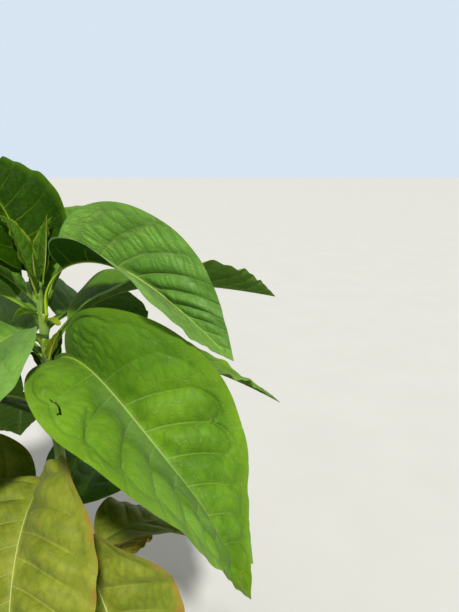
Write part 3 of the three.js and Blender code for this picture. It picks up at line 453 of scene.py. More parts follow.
def build_leaf(leaf, st, grids, nr):
    """One closed shell from the two halves, with rims at the margin, the foot, the tip and each hole."""
    A, B = grids[1], grids[-1]
    mid = A["q"].shape[1] - 1

    # columns run from the margin of one side over the midrib to the other
    def join(key, far=1):
        return np.concatenate([A[key][:, ::-1], far * B[key][:, 1:]], 1)
    top, low = join("top"), join("low")
    w = 2 * mid + 1
    nv = nr * w
    co = np.concatenate([top.reshape(-1, 3), low.reshape(-1, 3)])
    idx = np.arange(nv).reshape(nr, w)
    # cells that are torn or broken away
    keep = np.ones((nr - 1, w - 1), bool)
    S, D, Q = join("s"), join("d", -1), join("q")
    centre = lambda X: 0.25 * (X[:-1, :-1] + X[1:, :-1] + X[1:, 1:] + X[:-1, 1:])
    if leaf.name == "leaf_06":
        gap = to_line(centre(S), -centre(D), TEAR)
        keep &= ~(gap < 0.0036)
        OLD_TOP[:] = [top, low]
        top, low = open_tear(keep, S, D, top, low)
        co = np.concatenate([top.reshape(-1, 3), low.reshape(-1, 3)])
    if st["ragged"]:
        n = value_noise(centre(S) / 0.016, centre(D) / 0.016, st["seed"]) * 0.6 + value_noise(centre(S) / 0.006, centre(D) / 0.006, st["seed"] + 4) * 0.4
        keep &= ~((n > 1.13 - 0.40 * st["ragged"] * ramp(centre(Q), 0.70, 1.0) - 0.10 * st["ragged"]) & (centre(Q) > 0.35))
        # cells that would touch only at a corner are filled again
        keep[:-1, 1:] |= keep[:-1, :-1] & keep[1:, 1:] & ~keep[1:, :-1]
        keep[:-1, :-1] |= keep[:-1, 1:] & keep[1:, :-1] & ~keep[1:, 1:]
    cells_top = np.stack([idx[:-1, :-1], idx[:-1, 1:], idx[1:, 1:], idx[1:, :-1]], -1)
    quads_top = cells_top[keep]
    quads_low = quads_top[:, ::-1] + nv
    pad = np.zeros((nr + 1, w + 1), bool)
    pad[1:-1, 1:-1] = keep
    rim = []
    for e, beside in enumerate((pad[:-2, 1:-1], pad[1:-1, 2:], pad[2:, 1:-1], pad[1:-1, :-2])):
        open_edge = keep & ~beside
        a, b = cells_top[..., e][open_edge], cells_top[..., (e + 1) % 4][open_edge]
        rim.append(np.stack([b, a, a + nv, b + nv], -1))
    rim = np.concatenate(rim)
    quads = np.concatenate([quads_top, quads_low, rim])
    nf = len(quads_top)
    # which side of the midrib each face lies on
    col = np.broadcast_to(np.arange(w - 1), (nr - 1, w - 1))[keep]
    face_side = np.where(col < mid, 1, -1)
    # vertices that no face uses are left out
    used = np.zeros(2 * nv, bool)
    used[quads.ravel()] = True
    new = np.cumsum(used) - 1
    me = bpy.data.meshes.new(leaf.name + "_blade")
    me.vertices.add(int(used.sum()))
    me.vertices.foreach_set("co", co[used].astype(np.float32).ravel())
    me.loops.add(quads.size)
    me.loops.foreach_set("vertex_index", new[quads].astype(np.int32).ravel())
    me.polygons.add(len(quads))
    me.polygons.foreach_set("loop_start", np.arange(0, quads.size, 4, dtype=np.int32))
    me.polygons.foreach_set("loop_total", np.full(len(quads), 4, dtype=np.int32))
    mat_index = np.zeros(len(quads), dtype=np.int32)
    mat_index[nf:] = 1
    me.polygons.foreach_set("material_index", mat_index)
    me.polygons.foreach_set("use_smooth", np.ones(len(quads), dtype=bool))
    me.update(calc_edges=True)
    # face corners
    vi = quads.ravel()
    vm = vi % nv
    c_i = vm % w
    on_low = vi >= nv
    loop_side = np.repeat(np.concatenate([face_side, face_side, np.ones(len(rim), int)]), 4)
    rim_loops = np.repeat(np.arange(len(quads)) >= 2 * nf, 4)
    loop_side = np.where(rim_loops, np.where(c_i <= mid, 1, -1), loop_side)
    q, u, V = Q.ravel()[vm], join("u").ravel()[vm], join("V").ravel()[vm]
    seam = (c_i == mid) & (loop_side < 0)
    V = np.where(seam, V + 0.5, V)
    p = leaf.p
    band_cm = 100 * p["L"] * (1 - p["xp"]) / st["veins"]
    Vc = np.where(seam, join("V_cm").ravel()[vm] + 0.5 * band_cm, join("V_cm").ravel()[vm])

    def uv(name, x, y):
        layer = me.uv_layers.new(name=name)
        layer.data.foreach_set("uv", np.stack([x, y], -1).astype(np.float32).ravel())
    # a clean layout for the upper and the under face, side by side
    uv("OFBake", np.where(on_low, 0.75, 0.25) + 0.235 * q * loop_side, 0.015 + 0.97 * u)
    uv("Vein", V, q)
    uv("Lay", join("dr").ravel()[vm], u)
    uv("Met", Vc + 31.7 * st["seed"], join("d").ravel()[vm] * 100 * loop_side)
    uv("Cell", np.clip(join("inside").ravel()[vm], 0, 1), join("own").ravel()[vm])
    # the thin rim keeps hard edges
    rim_v = np.zeros(2 * nv, bool)
    rim_v[np.unique(rim)] = True
    low_v = np.arange(2 * nv) >= nv
    rim_v, low_v = rim_v[used], low_v[used]
    ev = np.empty(len(me.edges) * 2, dtype=np.int32)
    me.edges.foreach_get("vertices", ev)
    ev = ev.reshape(-1, 2)
    sharp = rim_v[ev].all(1) & (low_v[ev[:, 0]] == low_v[ev[:, 1]])
    me.edges.foreach_set("use_edge_sharp", sharp.astype(bool))
    me.update()
    ob = bpy.data.objects.new(leaf.name + "_blade", me)
    scene.collection.objects.link(ob)
    me.materials.append(MATERIALS[st["mat"] + "_top"])
    me.materials.append(MATERIALS[st["mat"] + "_under"])
    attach(ob, "root")
    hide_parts(leaf.name)
    return ob


# ------------------------------------------------------------------ materials
class Nodes:
    """Short calls for building a node tree."""
    def __init__(self, mat):
        mat.use_nodes = True
        self.nt = mat.node_tree
        self.nt.nodes.clear()

    def add(self, kind, **props):
        n = self.nt.nodes.new(kind)
        for k, v in props.items():
            setattr(n, k, v)
        return n

    def link(self, a, b):
        self.nt.links.new(a, b)

    def put(self, node, socket, value):
        if hasattr(value, "is_output") or isinstance(value, bpy.types.NodeSocket):
            self.link(value, node.inputs[socket])
        else:
            node.inputs[socket].default_value = value

    def math(self, op, a, b=None, c=None, clamp=False):
        n = self.add("ShaderNodeMath", operation=op, use_clamp=clamp)
        for i, v in enumerate((a, b, c)):
            if v is not None:
                self.put(n, i, v)
        return n.outputs[0]

    def mix(self, fac, a, b, blend="MIX"):
        n = self.add("ShaderNodeMix", data_type="RGBA", blend_type=blend)
        self.put(n, 0, fac)
        self.put(n, 6, a if not isinstance(a, tuple) else (*a, 1.0))
        self.put(n, 7, b if not isinstance(b, tuple) else (*b, 1.0))
        return n.outputs[2]

    def step(self, x, a, b, lo=0.0, hi=1.0):
        n = self.add("ShaderNodeMapRange", interpolation_type="SMOOTHSTEP")
        self.put(n, 0, x)
        for i, v in enumerate((a, b, lo, hi)):
            self.put(n, i + 1, v)
        return n.outputs[0]

    def uv(self, name):
        n = self.add("ShaderNodeUVMap", uv_map=name)
        s = self.add("ShaderNodeSeparateXYZ")
        self.link(n.outputs[0], s.inputs[0])
        return n.outputs[0], s.outputs[0], s.outputs[1]

    def noise(self, vector, scale, detail=3.0, rough=0.55):
        n = self.add("ShaderNodeTexNoise")
        if vector is not None:
            self.link(vector, n.inputs["Vector"])
        n.inputs["Scale"].default_value = scale
        n.inputs["Detail"].default_value = detail
        n.inputs["Roughness"].default_value = rough
        return n.outputs[0]


# dark, light, vein, edge colour and see-through colour; how strongly light shows through
TINTS = {
    # cool: the under colour is a near-black green, painted shade
    "cool": dict(dark=(.128, .315, .034), light=(.240, .500, .066), vein=(.60, .58, .14), edge=(.16, .37, .05), thru=(.06, .20, .006), under=(.013, .058, .003), share=.20, rough=.42, sheen=.12),
    "soft": dict(dark=(.080, .215, .020), light=(.165, .355, .040), vein=(.42, .50, .14), edge=(.15, .33, .04), thru=(.14, .34, .02), under=(.100, .210, .036), share=.22, rough=.45, sheen=.10),
    "mid": dict(dark=(.048, .155, .008), light=(.110, .270, .017), vein=(.34, .44, .12), edge=(.13, .30, .02), thru=(.17, .38, .02), under=(.092, .195, .030), share=.22, rough=.47, sheen=.06),
    "warm": dict(dark=(.078, .205, .004), light=(.165, .345, .012), vein=(.33, .41, .13), edge=(.20, .38, .010), thru=(.24, .46, .02), under=(.105, .215, .030), share=.24, rough=.48, sheen=.04),
    "fresh": dict(dark=(.055, .165, .008), light=(.125, .290, .018), vein=(.38, .52, .08), edge=(.19, .36, .02), thru=(.26, .50, .02), under=(.125, .240, .034), share=.30, rough=.48, sheen=.06),
    # deep: dark top and under colours, painted dark as painted shade
    "deep": dict(dark=(.009, .036, .001), light=(.026, .078, .002), vein=(.26, .42, .03), edge=(.09, .20, .01), thru=(.16, .34, .01), under=(.016, .060, .002), share=.28, rough=.50, sheen=.0),
    # young: dark colours, darkened as painted shade
    "young": dict(dark=(.020, .078, .002), light=(.072, .185, .005), vein=(.42, .52, .08), edge=(.36, .48, .03), thru=(.22, .42, .01), under=(.045, .125, .005), share=.26, rough=.52, sheen=.02),
    "lime": dict(dark=(.240, .350, .008), light=(.500, .600, .030), vein=(.54, .60, .12), edge=(.50, .55, .04), thru=(.60, .74, .02), under=(.560, .700, .040), share=.46, rough=.50, sheen=.0),
    "olive": dict(dark=(.150, .205, .010), light=(.290, .330, .026), vein=(.46, .50, .16), edge=(.32, .31, .03), thru=(.38, .44, .02), under=(.210, .250, .045), share=.24, rough=.52, sheen=.06),
    "yellow": dict(dark=(.290, .290, .018), light=(.500, .440, .040), vein=(.62, .58, .18), edge=(.46, .27, .05), thru=(.58, .46, .03), under=(.400, .360, .080), share=.26, rough=.56, sheen=.06),
    "withered": dict(dark=(.210, .080, .014), light=(.560, .260, .045), vein=(.50, .32, .11), edge=(.20, .08, .02), thru=(.60, .24, .03), under=(.330, .180, .070), share=.16, rough=.82, sheen=.05),
}
MATERIALS = {}


def leaf_material(key, under):
    c = TINTS[key]
    mat = bpy.data.materials.new("leaf_" + key + ("_under" if under else "_top"))
    N = Nodes(mat)
    obj = N.add("ShaderNodeTexCoord").outputs["Object"]
    _, V, q = N.uv("Vein")
    _, dr, u = N.uv("Lay")
    met, mv, md = N.uv("Met")
    _, inside, own = N.uv("Cell")
    old = key in ("olive", "yellow", "withered")

    # broad and finer differences in the green
    broad = N.noise(obj, 7.0, 2.0)
    fine = N.noise(obj, 38.0, 4.0, 0.6)
    amount = N.math("ADD", N.math("MULTIPLY", broad, 0.75), N.math("MULTIPLY", fine, 0.45))
    amount = N.step(amount, 0.40, 0.82)
    col = N.mix(amount, c["dark"], c["light"])
    # each pucker is a touch lighter or darker than the next at random; its crown is painted lighter and its border
    # darker, as painted highlight and painted shade
    if key in ("cool", "warm") and not under:
        shade = N.math("ADD", 0.83 if key == "cool" else 0.91, N.math("MULTIPLY", own, 0.34 if key == "cool" else 0.18))
        crown = N.step(inside, 0.0, 0.45, 0.72 if key == "cool" else 0.87, 1.08 if key == "cool" else 1.05)
    else:
        shade = N.math("ADD", 0.92, N.math("MULTIPLY", own, 0.16))
        crown = N.step(inside, 0.0, 0.40, 0.86, 1.06)
    cell_tone_and_painted_light = N.math("MULTIPLY", shade, crown)
    g = N.add("ShaderNodeCombineColor")
    for i in range(3):
        N.link(cell_tone_and_painted_light, g.inputs[i])
    col = N.mix(0.85 if not under else 0.35, col, g.outputs[0], "MULTIPLY")
    # paler towards the margin
    col = N.mix(N.math("MULTIPLY", N.step(q, 0.80, 1.0), 0.55), col, c["edge"])

    # small net of veins between the side veins: long cells across each band, and finer ones in them
    lay = N.add("ShaderNodeCombineXYZ")
    N.link(mv, lay.inputs[0])
    slant = N.math("MULTIPLY", N.math("MULTIPLY", mv, 0.57), N.math("SIGN", md))
    N.link(N.math("ADD", N.math("MULTIPLY", md, 1.15), slant), lay.inputs[1])
    lay = lay.outputs[0]
    wob = N.add("ShaderNodeTexNoise", noise_dimensions="2D")
    N.link(lay, wob.inputs["Vector"])
    wob.inputs["Scale"].default_value = 0.9
    ws = N.add("ShaderNodeVectorMath", operation="SCALE")
    N.link(wob.outputs["Color"], ws.inputs[0])
    ws.inputs[3].default_value = 0.7
    warp = N.add("ShaderNodeVectorMath", operation="ADD")
    N.link(lay, warp.inputs[0])
    N.link(ws.outputs[0], warp.inputs[1])
    long = N.add("ShaderNodeVectorMath", operation="MULTIPLY")
    N.link(warp.outputs[0], long.inputs[0])
    long.inputs[1].default_value = (0.55, 1.0, 1.0)
    vor = N.add("ShaderNodeTexVoronoi", feature="DISTANCE_TO_EDGE", voronoi_dimensions="2D")
    N.link(long.outputs[0], vor.inputs["Vector"])
    vor.inputs["Scale"].default_value = 0.95
    net = N.step(vor.outputs["Distance"], 0.015, 0.085, 1.0, 0.0)
    vor2 = N.add("ShaderNodeTexVoronoi", feature="DISTANCE_TO_EDGE", voronoi_dimensions="2D")
    N.link(warp.outputs[0], vor2.inputs["Vector"])
    vor2.inputs["Scale"].default_value = 3.4
    net2 = N.step(vor2.outputs["Distance"], 0.02, 0.12, 1.0, 0.0)
    on = N.step(u, 0.10, 0.18)
    off_rib = N.step(dr, 0.7, 1.2)
    net = N.math("MULTIPLY", net, N.math("MULTIPLY", on, off_rib))
    net2 = N.math("MULTIPLY", net2, N.math("MULTIPLY", on, off_rib))
    # some rungs of the net show, others fade
    seen = N.step(N.noise(met, 0.55, 2.0), 0.42, 0.66)
    net_c = N.math("MULTIPLY", net, N.math("ADD", 0.25, N.math("MULTIPLY", seen, 0.75)))

    # side veins: thin and pale, fading towards the margin
    a = N.math("PINGPONG", V, 0.5)
    width = N.math("ADD", 0.008, N.math("MULTIPLY", N.math("SUBTRACT", 1.0, q, clamp=True), 0.018 if not under else 0.034))
    near = N.math("DIVIDE", a, width)
    line = N.step(near, 0.45, 1.35, 1.0, 0.0)
    fade = N.math("POWER", N.math("SUBTRACT", 1.02, q, clamp=True), 1.5 if key in ("warm", "cool") and not under else 0.9)
    mid = N.step(dr, *((0.16, 0.44) if not under else (0.50, 1.05)), 1.0, 0.0)
    line = N.math("MULTIPLY", N.math("MULTIPLY", line, fade), N.math("MULTIPLY", on, N.math("SUBTRACT", 1.0, mid)))
    # painted shade: a soft darker band in the fold along each side vein
    halo = N.math("MULTIPLY", N.math("MULTIPLY", N.step(near, 0.8, 5.5, 1.0, 0.0), fade), on)
    mid_halo = N.step(dr, 0.8, 3.4, 1.0, 0.0)
    young_end = N.step(u, 0.55, 1.0, 1.0, 0.45)

    col = N.mix(N.math("MULTIPLY", net2, 0.05 if not under else 0.14), col, c["vein"])
    col = N.mix(N.math("MULTIPLY", net_c, 0.15 if not under else 0.30), col, c["vein"])
    if key in ("cool", "warm") and not under:
        # pale rungs round the windows
        rung = N.math("MULTIPLY", N.step(inside, 0.02, 0.11, 1.0, 0.0), N.step(N.noise(met, 0.40, 2.0), 0.40, 0.62))
        col = N.mix(N.math("MULTIPLY", N.math("MULTIPLY", rung, on), 0.34 if key == "cool" else 0.20), col, (.42, .60, .20))
    if key == "cool" and not under:
        # painted shade: the far half is painted darker towards its lower end
        low = N.math("MULTIPLY", N.step(md, 0.1, 1.4), N.math("MULTIPLY", N.step(u, 0.40, 0.53), N.step(u, 0.80, 0.97, 1.0, 0.35)))
        col = N.mix(N.math("MULTIPLY", low, 0.62), col, (.062, .180, .014))
    # painted shade in the folds along the side veins
    col = N.mix(N.math("MULTIPLY", halo, 0.10), col, tuple(0.55 * x for x in c["dark"]))
    # the under face takes its under colour; for cool and deep almost wholly, a dark green that is painted shade
    if under:
        col = N.mix(0.94 if key in ("cool", "deep") else 0.62, col, c["under"])
    # the stalk and the foot of the midrib are greener than the rest of it; on the cool under face the stalk is painted
    # lighter, as painted light
    vein = N.mix(N.step(u, *((0.34, 0.42) if key == "cool" else (0.20, 0.36))), (.46, .66, .030) if under and key == "cool" else (.27, .42, .022), c["vein"])
    col = N.mix(N.math("MULTIPLY", line, 0.42 if not under else (0.62 if key not in ("cool", "deep") else 0.22)), col, vein)
    col = N.mix(N.math("MULTIPLY", mid_halo, 0.10), col, c["vein"])
    col = N.mix(N.math("MULTIPLY", N.math("MULTIPLY", mid, young_end), 0.82 if not under else 0.80), col, vein)
    if key == "warm" and not under:
        # painted shade: the strip beside the midrib that lies turned away from the light is painted greyer than the
        # rest
        strip = N.math("MULTIPLY", N.step(md, -5.2, -2.6), N.step(md, -0.55, -0.15, 1.0, 0.0))
        strip = N.math("MULTIPLY", strip, N.math("MULTIPLY", N.step(u, 0.26, 0.40), N.step(u, 0.70, 0.92, 1.0, 0.0)))
        col = N.mix(N.math("MULTIPLY", strip, 0.50), col, (.135, .245, .070))
        # painted highlight: the near half away from the midrib is painted lighter and greyer towards its lower end
        pale = N.math("MULTIPLY", N.step(md, -6.5, -4.5, 1.0, 0.0), N.math("MULTIPLY", N.step(u, 0.42, 0.55), N.step(u, 0.70, 0.85, 1.0, 0.0)))
        col = N.mix(N.math("MULTIPLY", pale, 0.45), col, (.225, .420, .060))
        # painted shadow: the far half is painted a deeper green near the foot, as the shadow of a leaf above, and the
        # tip is yellower
        foot = N.math("MULTIPLY", N.step(md, 0.2, 3.0), N.math("MULTIPLY", N.step(u, 0.10, 0.20), N.step(u, 0.30, 0.50, 1.0, 0.0)))
        col = N.mix(N.math("MULTIPLY", foot, 0.45), col, (.058, .170, .003))
        col = N.mix(N.step(u, 0.84, 0.97, 0.0, 0.55), col, (.150, .270, .002))
    if key == "cool" and under:
        # painted highlight: a pale rim where the turned-up half curls over and catches the light
        rim = N.math("MULTIPLY", N.step(q, 0.925, 0.965), N.math("MULTIPLY", N.step(u, 0.17, 0.27), N.step(u, 0.45, 0.60, 1.0, 0.0)))
        col = N.mix(N.math("MULTIPLY", rim, 0.70), col, (.34, .56, .20))
    if key == "cool" and not under:
        # painted shade: the near half lies flatter to the light and is painted a little deeper in colour
        col = N.mix(N.step(md, -0.6, -0.1, 1.0, 0.0), col, (.86, .87, .72), "MULTIPLY")
    if key == "warm" and not under:
        # the tip is yellower
        col = N.mix(N.step(u, 0.78, 0.92, 0.0, 1.0), col, (.97, .95, .35), "MULTIPLY")
    if key in ("deep", "young") and not under:
        # the darkest leaves, painted dark as painted shade, are made a purer and darker green
        col = N.mix(1.0, col, (.80, .88, .42) if key == "deep" else (.76, .82, .42), "MULTIPLY")
    if old:
        # brown and yellow patches of an ageing leaf, more of them at the margin
        spots = N.noise(obj, 22.0, 5.0, 0.7)
        more = N.math("ADD", spots, N.math("MULTIPLY", N.step(q, 0.80, 1.0), 0.20))
        patch = N.step(more, 0.64, 0.76)
        col = N.mix(N.math("MULTIPLY", patch, 0.60), col, (.40, .19, .035) if key != "withered" else (.12, .05, .02))
    if key == "withered":
        streak = N.noise(met, 1.6, 4.0, 0.7)
        col = N.mix(N.step(streak, 0.45, 0.7), col, (.66, .34, .09))

    bump = N.add("ShaderNodeBump")
    bump.inputs["Strength"].default_value = 0.46
    bump.inputs["Distance"].default_value = 0.0011
    h = N.math("MULTIPLY", net, -1.0 if not under else 0.9)
    h = N.math("ADD", h, N.math("MULTIPLY", net2, -0.35 if not under else 0.35))
    h = N.math("ADD", h, N.math("MULTIPLY", line, 0.5 if not under else 1.0))
    grain = N.noise(obj, 900.0, 2.0, 0.6)
    h = N.math("ADD", h, N.math("MULTIPLY", grain, 0.30 if key != "withered" else 1.2))
    N.link(h, bump.inputs["Height"])

    bs = N.add("ShaderNodeBsdfPrincipled")
    N.link(col, bs.inputs["Base Color"])
    r = c["rough"] + (0.16 if under else 0.0)
    rough = N.math("ADD", r - 0.07, N.math("MULTIPLY", N.noise(obj, 60.0, 2.0), 0.14))
    N.link(rough, bs.inputs["Roughness"])
    bs.inputs["Specular IOR Level"].default_value = {"cool": 0.30, "soft": 0.28, "deep": 0.04, "young": 0.10, "warm": 0.18}.get(key, 0.20) if not under else (0.04 if key in ("cool", "deep") else 0.10)
    bs.inputs["Sheen Weight"].default_value = c["sheen"] if not under else (0.0 if key in ("cool", "deep") else 0.04)
    bs.inputs["Sheen Roughness"].default_value = 0.5
    bs.inputs["Sheen Tint"].default_value = (0.9, 1.0, 0.92, 1.0)
    N.link(bump.outputs[0], bs.inputs["Normal"])
    tr = N.add("ShaderNodeBsdfTranslucent")
    thru = N.mix(N.math("MULTIPLY", N.math("MAXIMUM", line, mid), 0.55), c["thru"], tuple(0.5 * x + 0.2 for x in c["thru"]))
    thru = N.mix(0.5, thru, g.outputs[0], "MULTIPLY")
    N.link(thru, tr.inputs["Color"])
    N.link(bump.outputs[0], tr.inputs["Normal"])
    ms = N.add("ShaderNodeMixShader")
    share = N.math("MULTIPLY", N.math("SUBTRACT", 1.0, N.math("MULTIPLY", mid, 0.85)), c["share"])
    N.link(share, ms.inputs[0])
    N.link(bs.outputs[0], ms.inputs[1])
    N.link(tr.outputs[0], ms.inputs[2])
    out = N.add("ShaderNodeOutputMaterial")
    N.link(ms.outputs[0], out.inputs["Surface"])
    MATERIALS[key + ("_under" if under else "_top")] = mat
    return mat


for key in TINTS:
    leaf_material(key, False)
    leaf_material(key, True)


def stem_material():
    mat = bpy.data.materials.new("stem_skin")
    N = Nodes(mat)
    co = N.add("ShaderNodeTexCoord").outputs["Object"]
    sep = N.add("ShaderNodeSeparateXYZ")
    N.link(co, sep.inputs[0])
    z = sep.outputs[2]
    mp = N.add("ShaderNodeMapping")
    mp.inputs["Scale"].default_value = (1.0, 1.0, 0.05)
    N.link(co, mp.inputs["Vector"])
    streak = N.noise(mp.outputs[0], 420.0, 3.0)
    blotch = N.noise(co, 24.0, 4.0, 0.65)
    # the stem's own light green, painted a little darker as painted shade
    green = N.mix(N.step(blotch, 0.35, 0.7), (.12, .235, .030), (.225, .355, .065))
    green = N.mix(N.math("MULTIPLY", N.step(streak, 0.45, 0.75), 0.36), green, (.34, .45, .13))
    # woody and brown towards the ground
    woody = N.mix(N.step(streak, 0.35, 0.7), (.20, .15, .06), (.40, .33, .17))
    foot = N.math("ADD", z, N.math("MULTIPLY", blotch, 0.22))
    col = N.mix(N.step(foot, 0.16, 0.46, 1.0, 0.0), green, woody)
    _, scar, ledge = N.uv("Scar")
    col = N.mix(N.step(ledge, 0.10, 0.75), col, (.26, .41, .022))
    col = N.mix(N.step(scar, 0.25, 0.8), col, (.44, .36, .20))
    bump = N.add("ShaderNodeBump")
    bump.inputs["Strength"].default_value = 0.5
    bump.inputs["Distance"].default_value = 0.0012
    h = N.math("ADD", N.math("MULTIPLY", streak, 1.0), N.math("MULTIPLY", N.noise(co, 1400.0, 2.0, 0.6), 0.6))
    N.link(h, bump.inputs["Height"])
    bs = N.add("ShaderNodeBsdfPrincipled")
    N.link(col, bs.inputs["Base Color"])
    rough = N.step(foot, 0.16, 0.46, 0.82, 0.52)
    N.link(rough, bs.inputs["Roughness"])
    bs.inputs["Sheen Weight"].default_value = 0.12
    bs.inputs["Sheen Roughness"].default_value = 0.4
    bs.inputs["Specular IOR Level"].default_value = 0.35
    N.link(bump.outputs[0], bs.inputs["Normal"])
    out = N.add("ShaderNodeOutputMaterial")
    N.link(bs.outputs[0], out.inputs["Surface"])
    return mat


# ------------------------------------------------------------------ the stem's mesh
def make_stem():
    nz, na = 640, 60
    z = np.linspace(0, 1, nz) ** 1.0 * STEM_TOP
    # closer rings near the foot
    z = np.concatenate([np.linspace(0, 0.08, 40, endpoint=False), np.linspace(0.08, STEM_TOP, nz - 40)])
    ang = np.linspace(0, 2 * math.pi, na, endpoint=False)
    Z, A = np.meshgrid(z, ang, indexing="ij")
    R = stem_radius(Z)
    R = R * (1 + 0.10 * np.exp(-Z / 0.026) * np.sin(5 * A + 0.6))
    R = R + 0.00030 * np.sin(11 * A + 9 * Z) + 0.00022 * np.sin(17 * A - 13 * Z + 1.0) + 0.0005 * (value_noise(A * 2.2, Z * 60, 3.0) - 0.5)
    scar = np.zeros_like(Z)
    ledge = np.zeros_like(Z)
    # the stem swells at each leaf, and a ridge runs down from it on both sides
    for name, p in LEAVES.items():
        if name.startswith("shoot"):
            continue
        zc, ac = p["z"], p["az"] * DEG
        da = np.angle(np.exp(1j * (A - ac)))
        dz = Z - zc
        strength = min(1.0, p["L"] / 0.4)
        R = R + strength * 0.0018 * np.exp(-(dz / 0.012) ** 2) * np.exp(-(da / 0.9) ** 2)
        stalk = rib_width(p, 0.0)
        out = smooth((dz + 0.030 * max(strength, 0.4)) / (0.030 * max(strength, 0.4))) * (1 - smooth((dz - 0.0015) / 0.0075))
        reach = (0.0018 + 0.92 * stalk) if name.startswith(("leaf", "upper")) else (0.0012 + 0.5 * stalk)
        hump = out ** 1.6 * np.exp(-(np.abs(da) * stem_radius(Z) / (1.15 * stalk + 0.0022)) ** 3)
        R = R + reach * hump
        ledge = np.maximum(ledge, hump * (1 if name.startswith(("leaf", "upper")) else 0.6))
        below = np.clip(-dz / 0.05, 0, 1)
        R = R + strength * 0.0009 * (dz < 0.004) * np.exp(-np.clip(-dz, 0, None) / 0.030) * (np.exp(-((da - 0.55) / 0.16) ** 2) + np.exp(-((da + 0.55) / 0.16) ** 2))
        R = R - strength * 0.0006 * np.exp(-((dz - 0.010) / 0.008) ** 2) * np.exp(-(da / 0.5) ** 2)
    # scars of the lowest leaves, which have dropped
    for k, (zc, az) in enumerate([(0.030, 40), (0.048, 178), (0.068, -45), (0.086, -118), (0.120, 20)]):
        da = np.angle(np.exp(1j * (A - az * DEG)))
        e = (da / 0.50) ** 2 + ((Z - zc) / 0.0065) ** 2
        R = R + 0.0016 * np.exp(-e ** 2) - 0.0009 * np.exp(-(e * 2.2) ** 2)
        scar = np.maximum(scar, np.exp(-e ** 3))
    c = stem_centre(Z)
    co = np.stack([c[..., 0] + R * np.cos(A), c[..., 1] + R * np.sin(A), Z], -1)
    top_c = stem_centre(STEM_TOP)
    nz = len(z)
    verts = np.concatenate([co.reshape(-1, 3), [[*stem_centre(0.0), 0.0]], [[*top_c, STEM_TOP + 0.0012]]])
    idx = np.arange(nz * na).reshape(nz, na)
    nxt = np.roll(idx, -1, 1)
    quads = np.stack([idx[:-1], nxt[:-1], nxt[1:], idx[1:]], -1).reshape(-1, 4)
    faces = [tuple(f) for f in quads.tolist()]
    f0, f1 = nz * na, nz * na + 1
    faces += [(f0, int(nxt[0, j]), int(idx[0, j])) for j in range(na)]
    faces += [(f1, int(idx[-1, j]), int(nxt[-1, j])) for j in range(na)]
    me = bpy.data.meshes.new("stem_skin")
    me.from_pydata(verts.tolist(), [], faces)
    me.polygons.foreach_set("use_smooth", np.ones(len(me.polygons), dtype=bool))
    li = np.empty(len(me.loops), dtype=np.int32)
    me.loops.foreach_get("vertex_index", li)
    flat = np.concatenate([scar.ravel(), [0, 0]])[li]
    humps = np.concatenate([ledge.ravel(), [0, 0]])[li]
    col = np.concatenate([np.tile(np.arange(na), nz), [0, 0]])[li].astype(float)
    row = np.concatenate([Z.ravel() / STEM_TOP, [0, 1]])[li]
    # the seam column gets its own far edge, so the layout doesn't fold back
    col = col.reshape(-1)
    k = 0
    starts = np.empty(len(me.polygons), dtype=np.int32)
    totals = np.empty(len(me.polygons), dtype=np.int32)
    me.polygons.foreach_get("loop_start", starts)
    me.polygons.foreach_get("loop_total", totals)
    quad_n = len(quads)
    cq = col[: quad_n * 4].reshape(-1, 4)
    wrap = cq.max(1) - cq.min(1) > na / 2
    cq[wrap] = np.where(cq[wrap] < na / 2, cq[wrap] + na, cq[wrap])
    col[: quad_n * 4] = cq.ravel()
    x, y = 0.02 + 0.86 * col / na, 0.02 + 0.96 * row
    tri = np.arange(len(col)) >= quad_n * 4
    # the two ends are laid out beside the side
    tx = np.concatenate([co[..., 0].ravel() , [stem_centre(0.0)[0], top_c[0]]])[li]
    ty = np.concatenate([co[..., 1].ravel() , [stem_centre(0.0)[1], top_c[1]]])[li]
    top_half = np.arange(len(col)) >= quad_n * 4 + 3 * na
    x = np.where(tri, 0.945 + tx * 1.6, x)
    y = np.where(tri, np.where(top_half, 0.8, 0.2) + ty * 1.6, y)
    uvb = me.uv_layers.new(name="OFBake")
    uvb.data.foreach_set("uv", np.stack([x, y], -1).astype(np.float32).ravel())
    sc = me.uv_layers.new(name="Scar")
    sc.data.foreach_set("uv", np.stack([flat, humps], -1).astype(np.float32).ravel())
    me.update()
    me.materials.append(stem_material())
    ob = bpy.data.objects.new("stem_skin", me)
    scene.collection.objects.link(ob)
    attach(ob, "root")
    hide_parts("stem")
    return ob


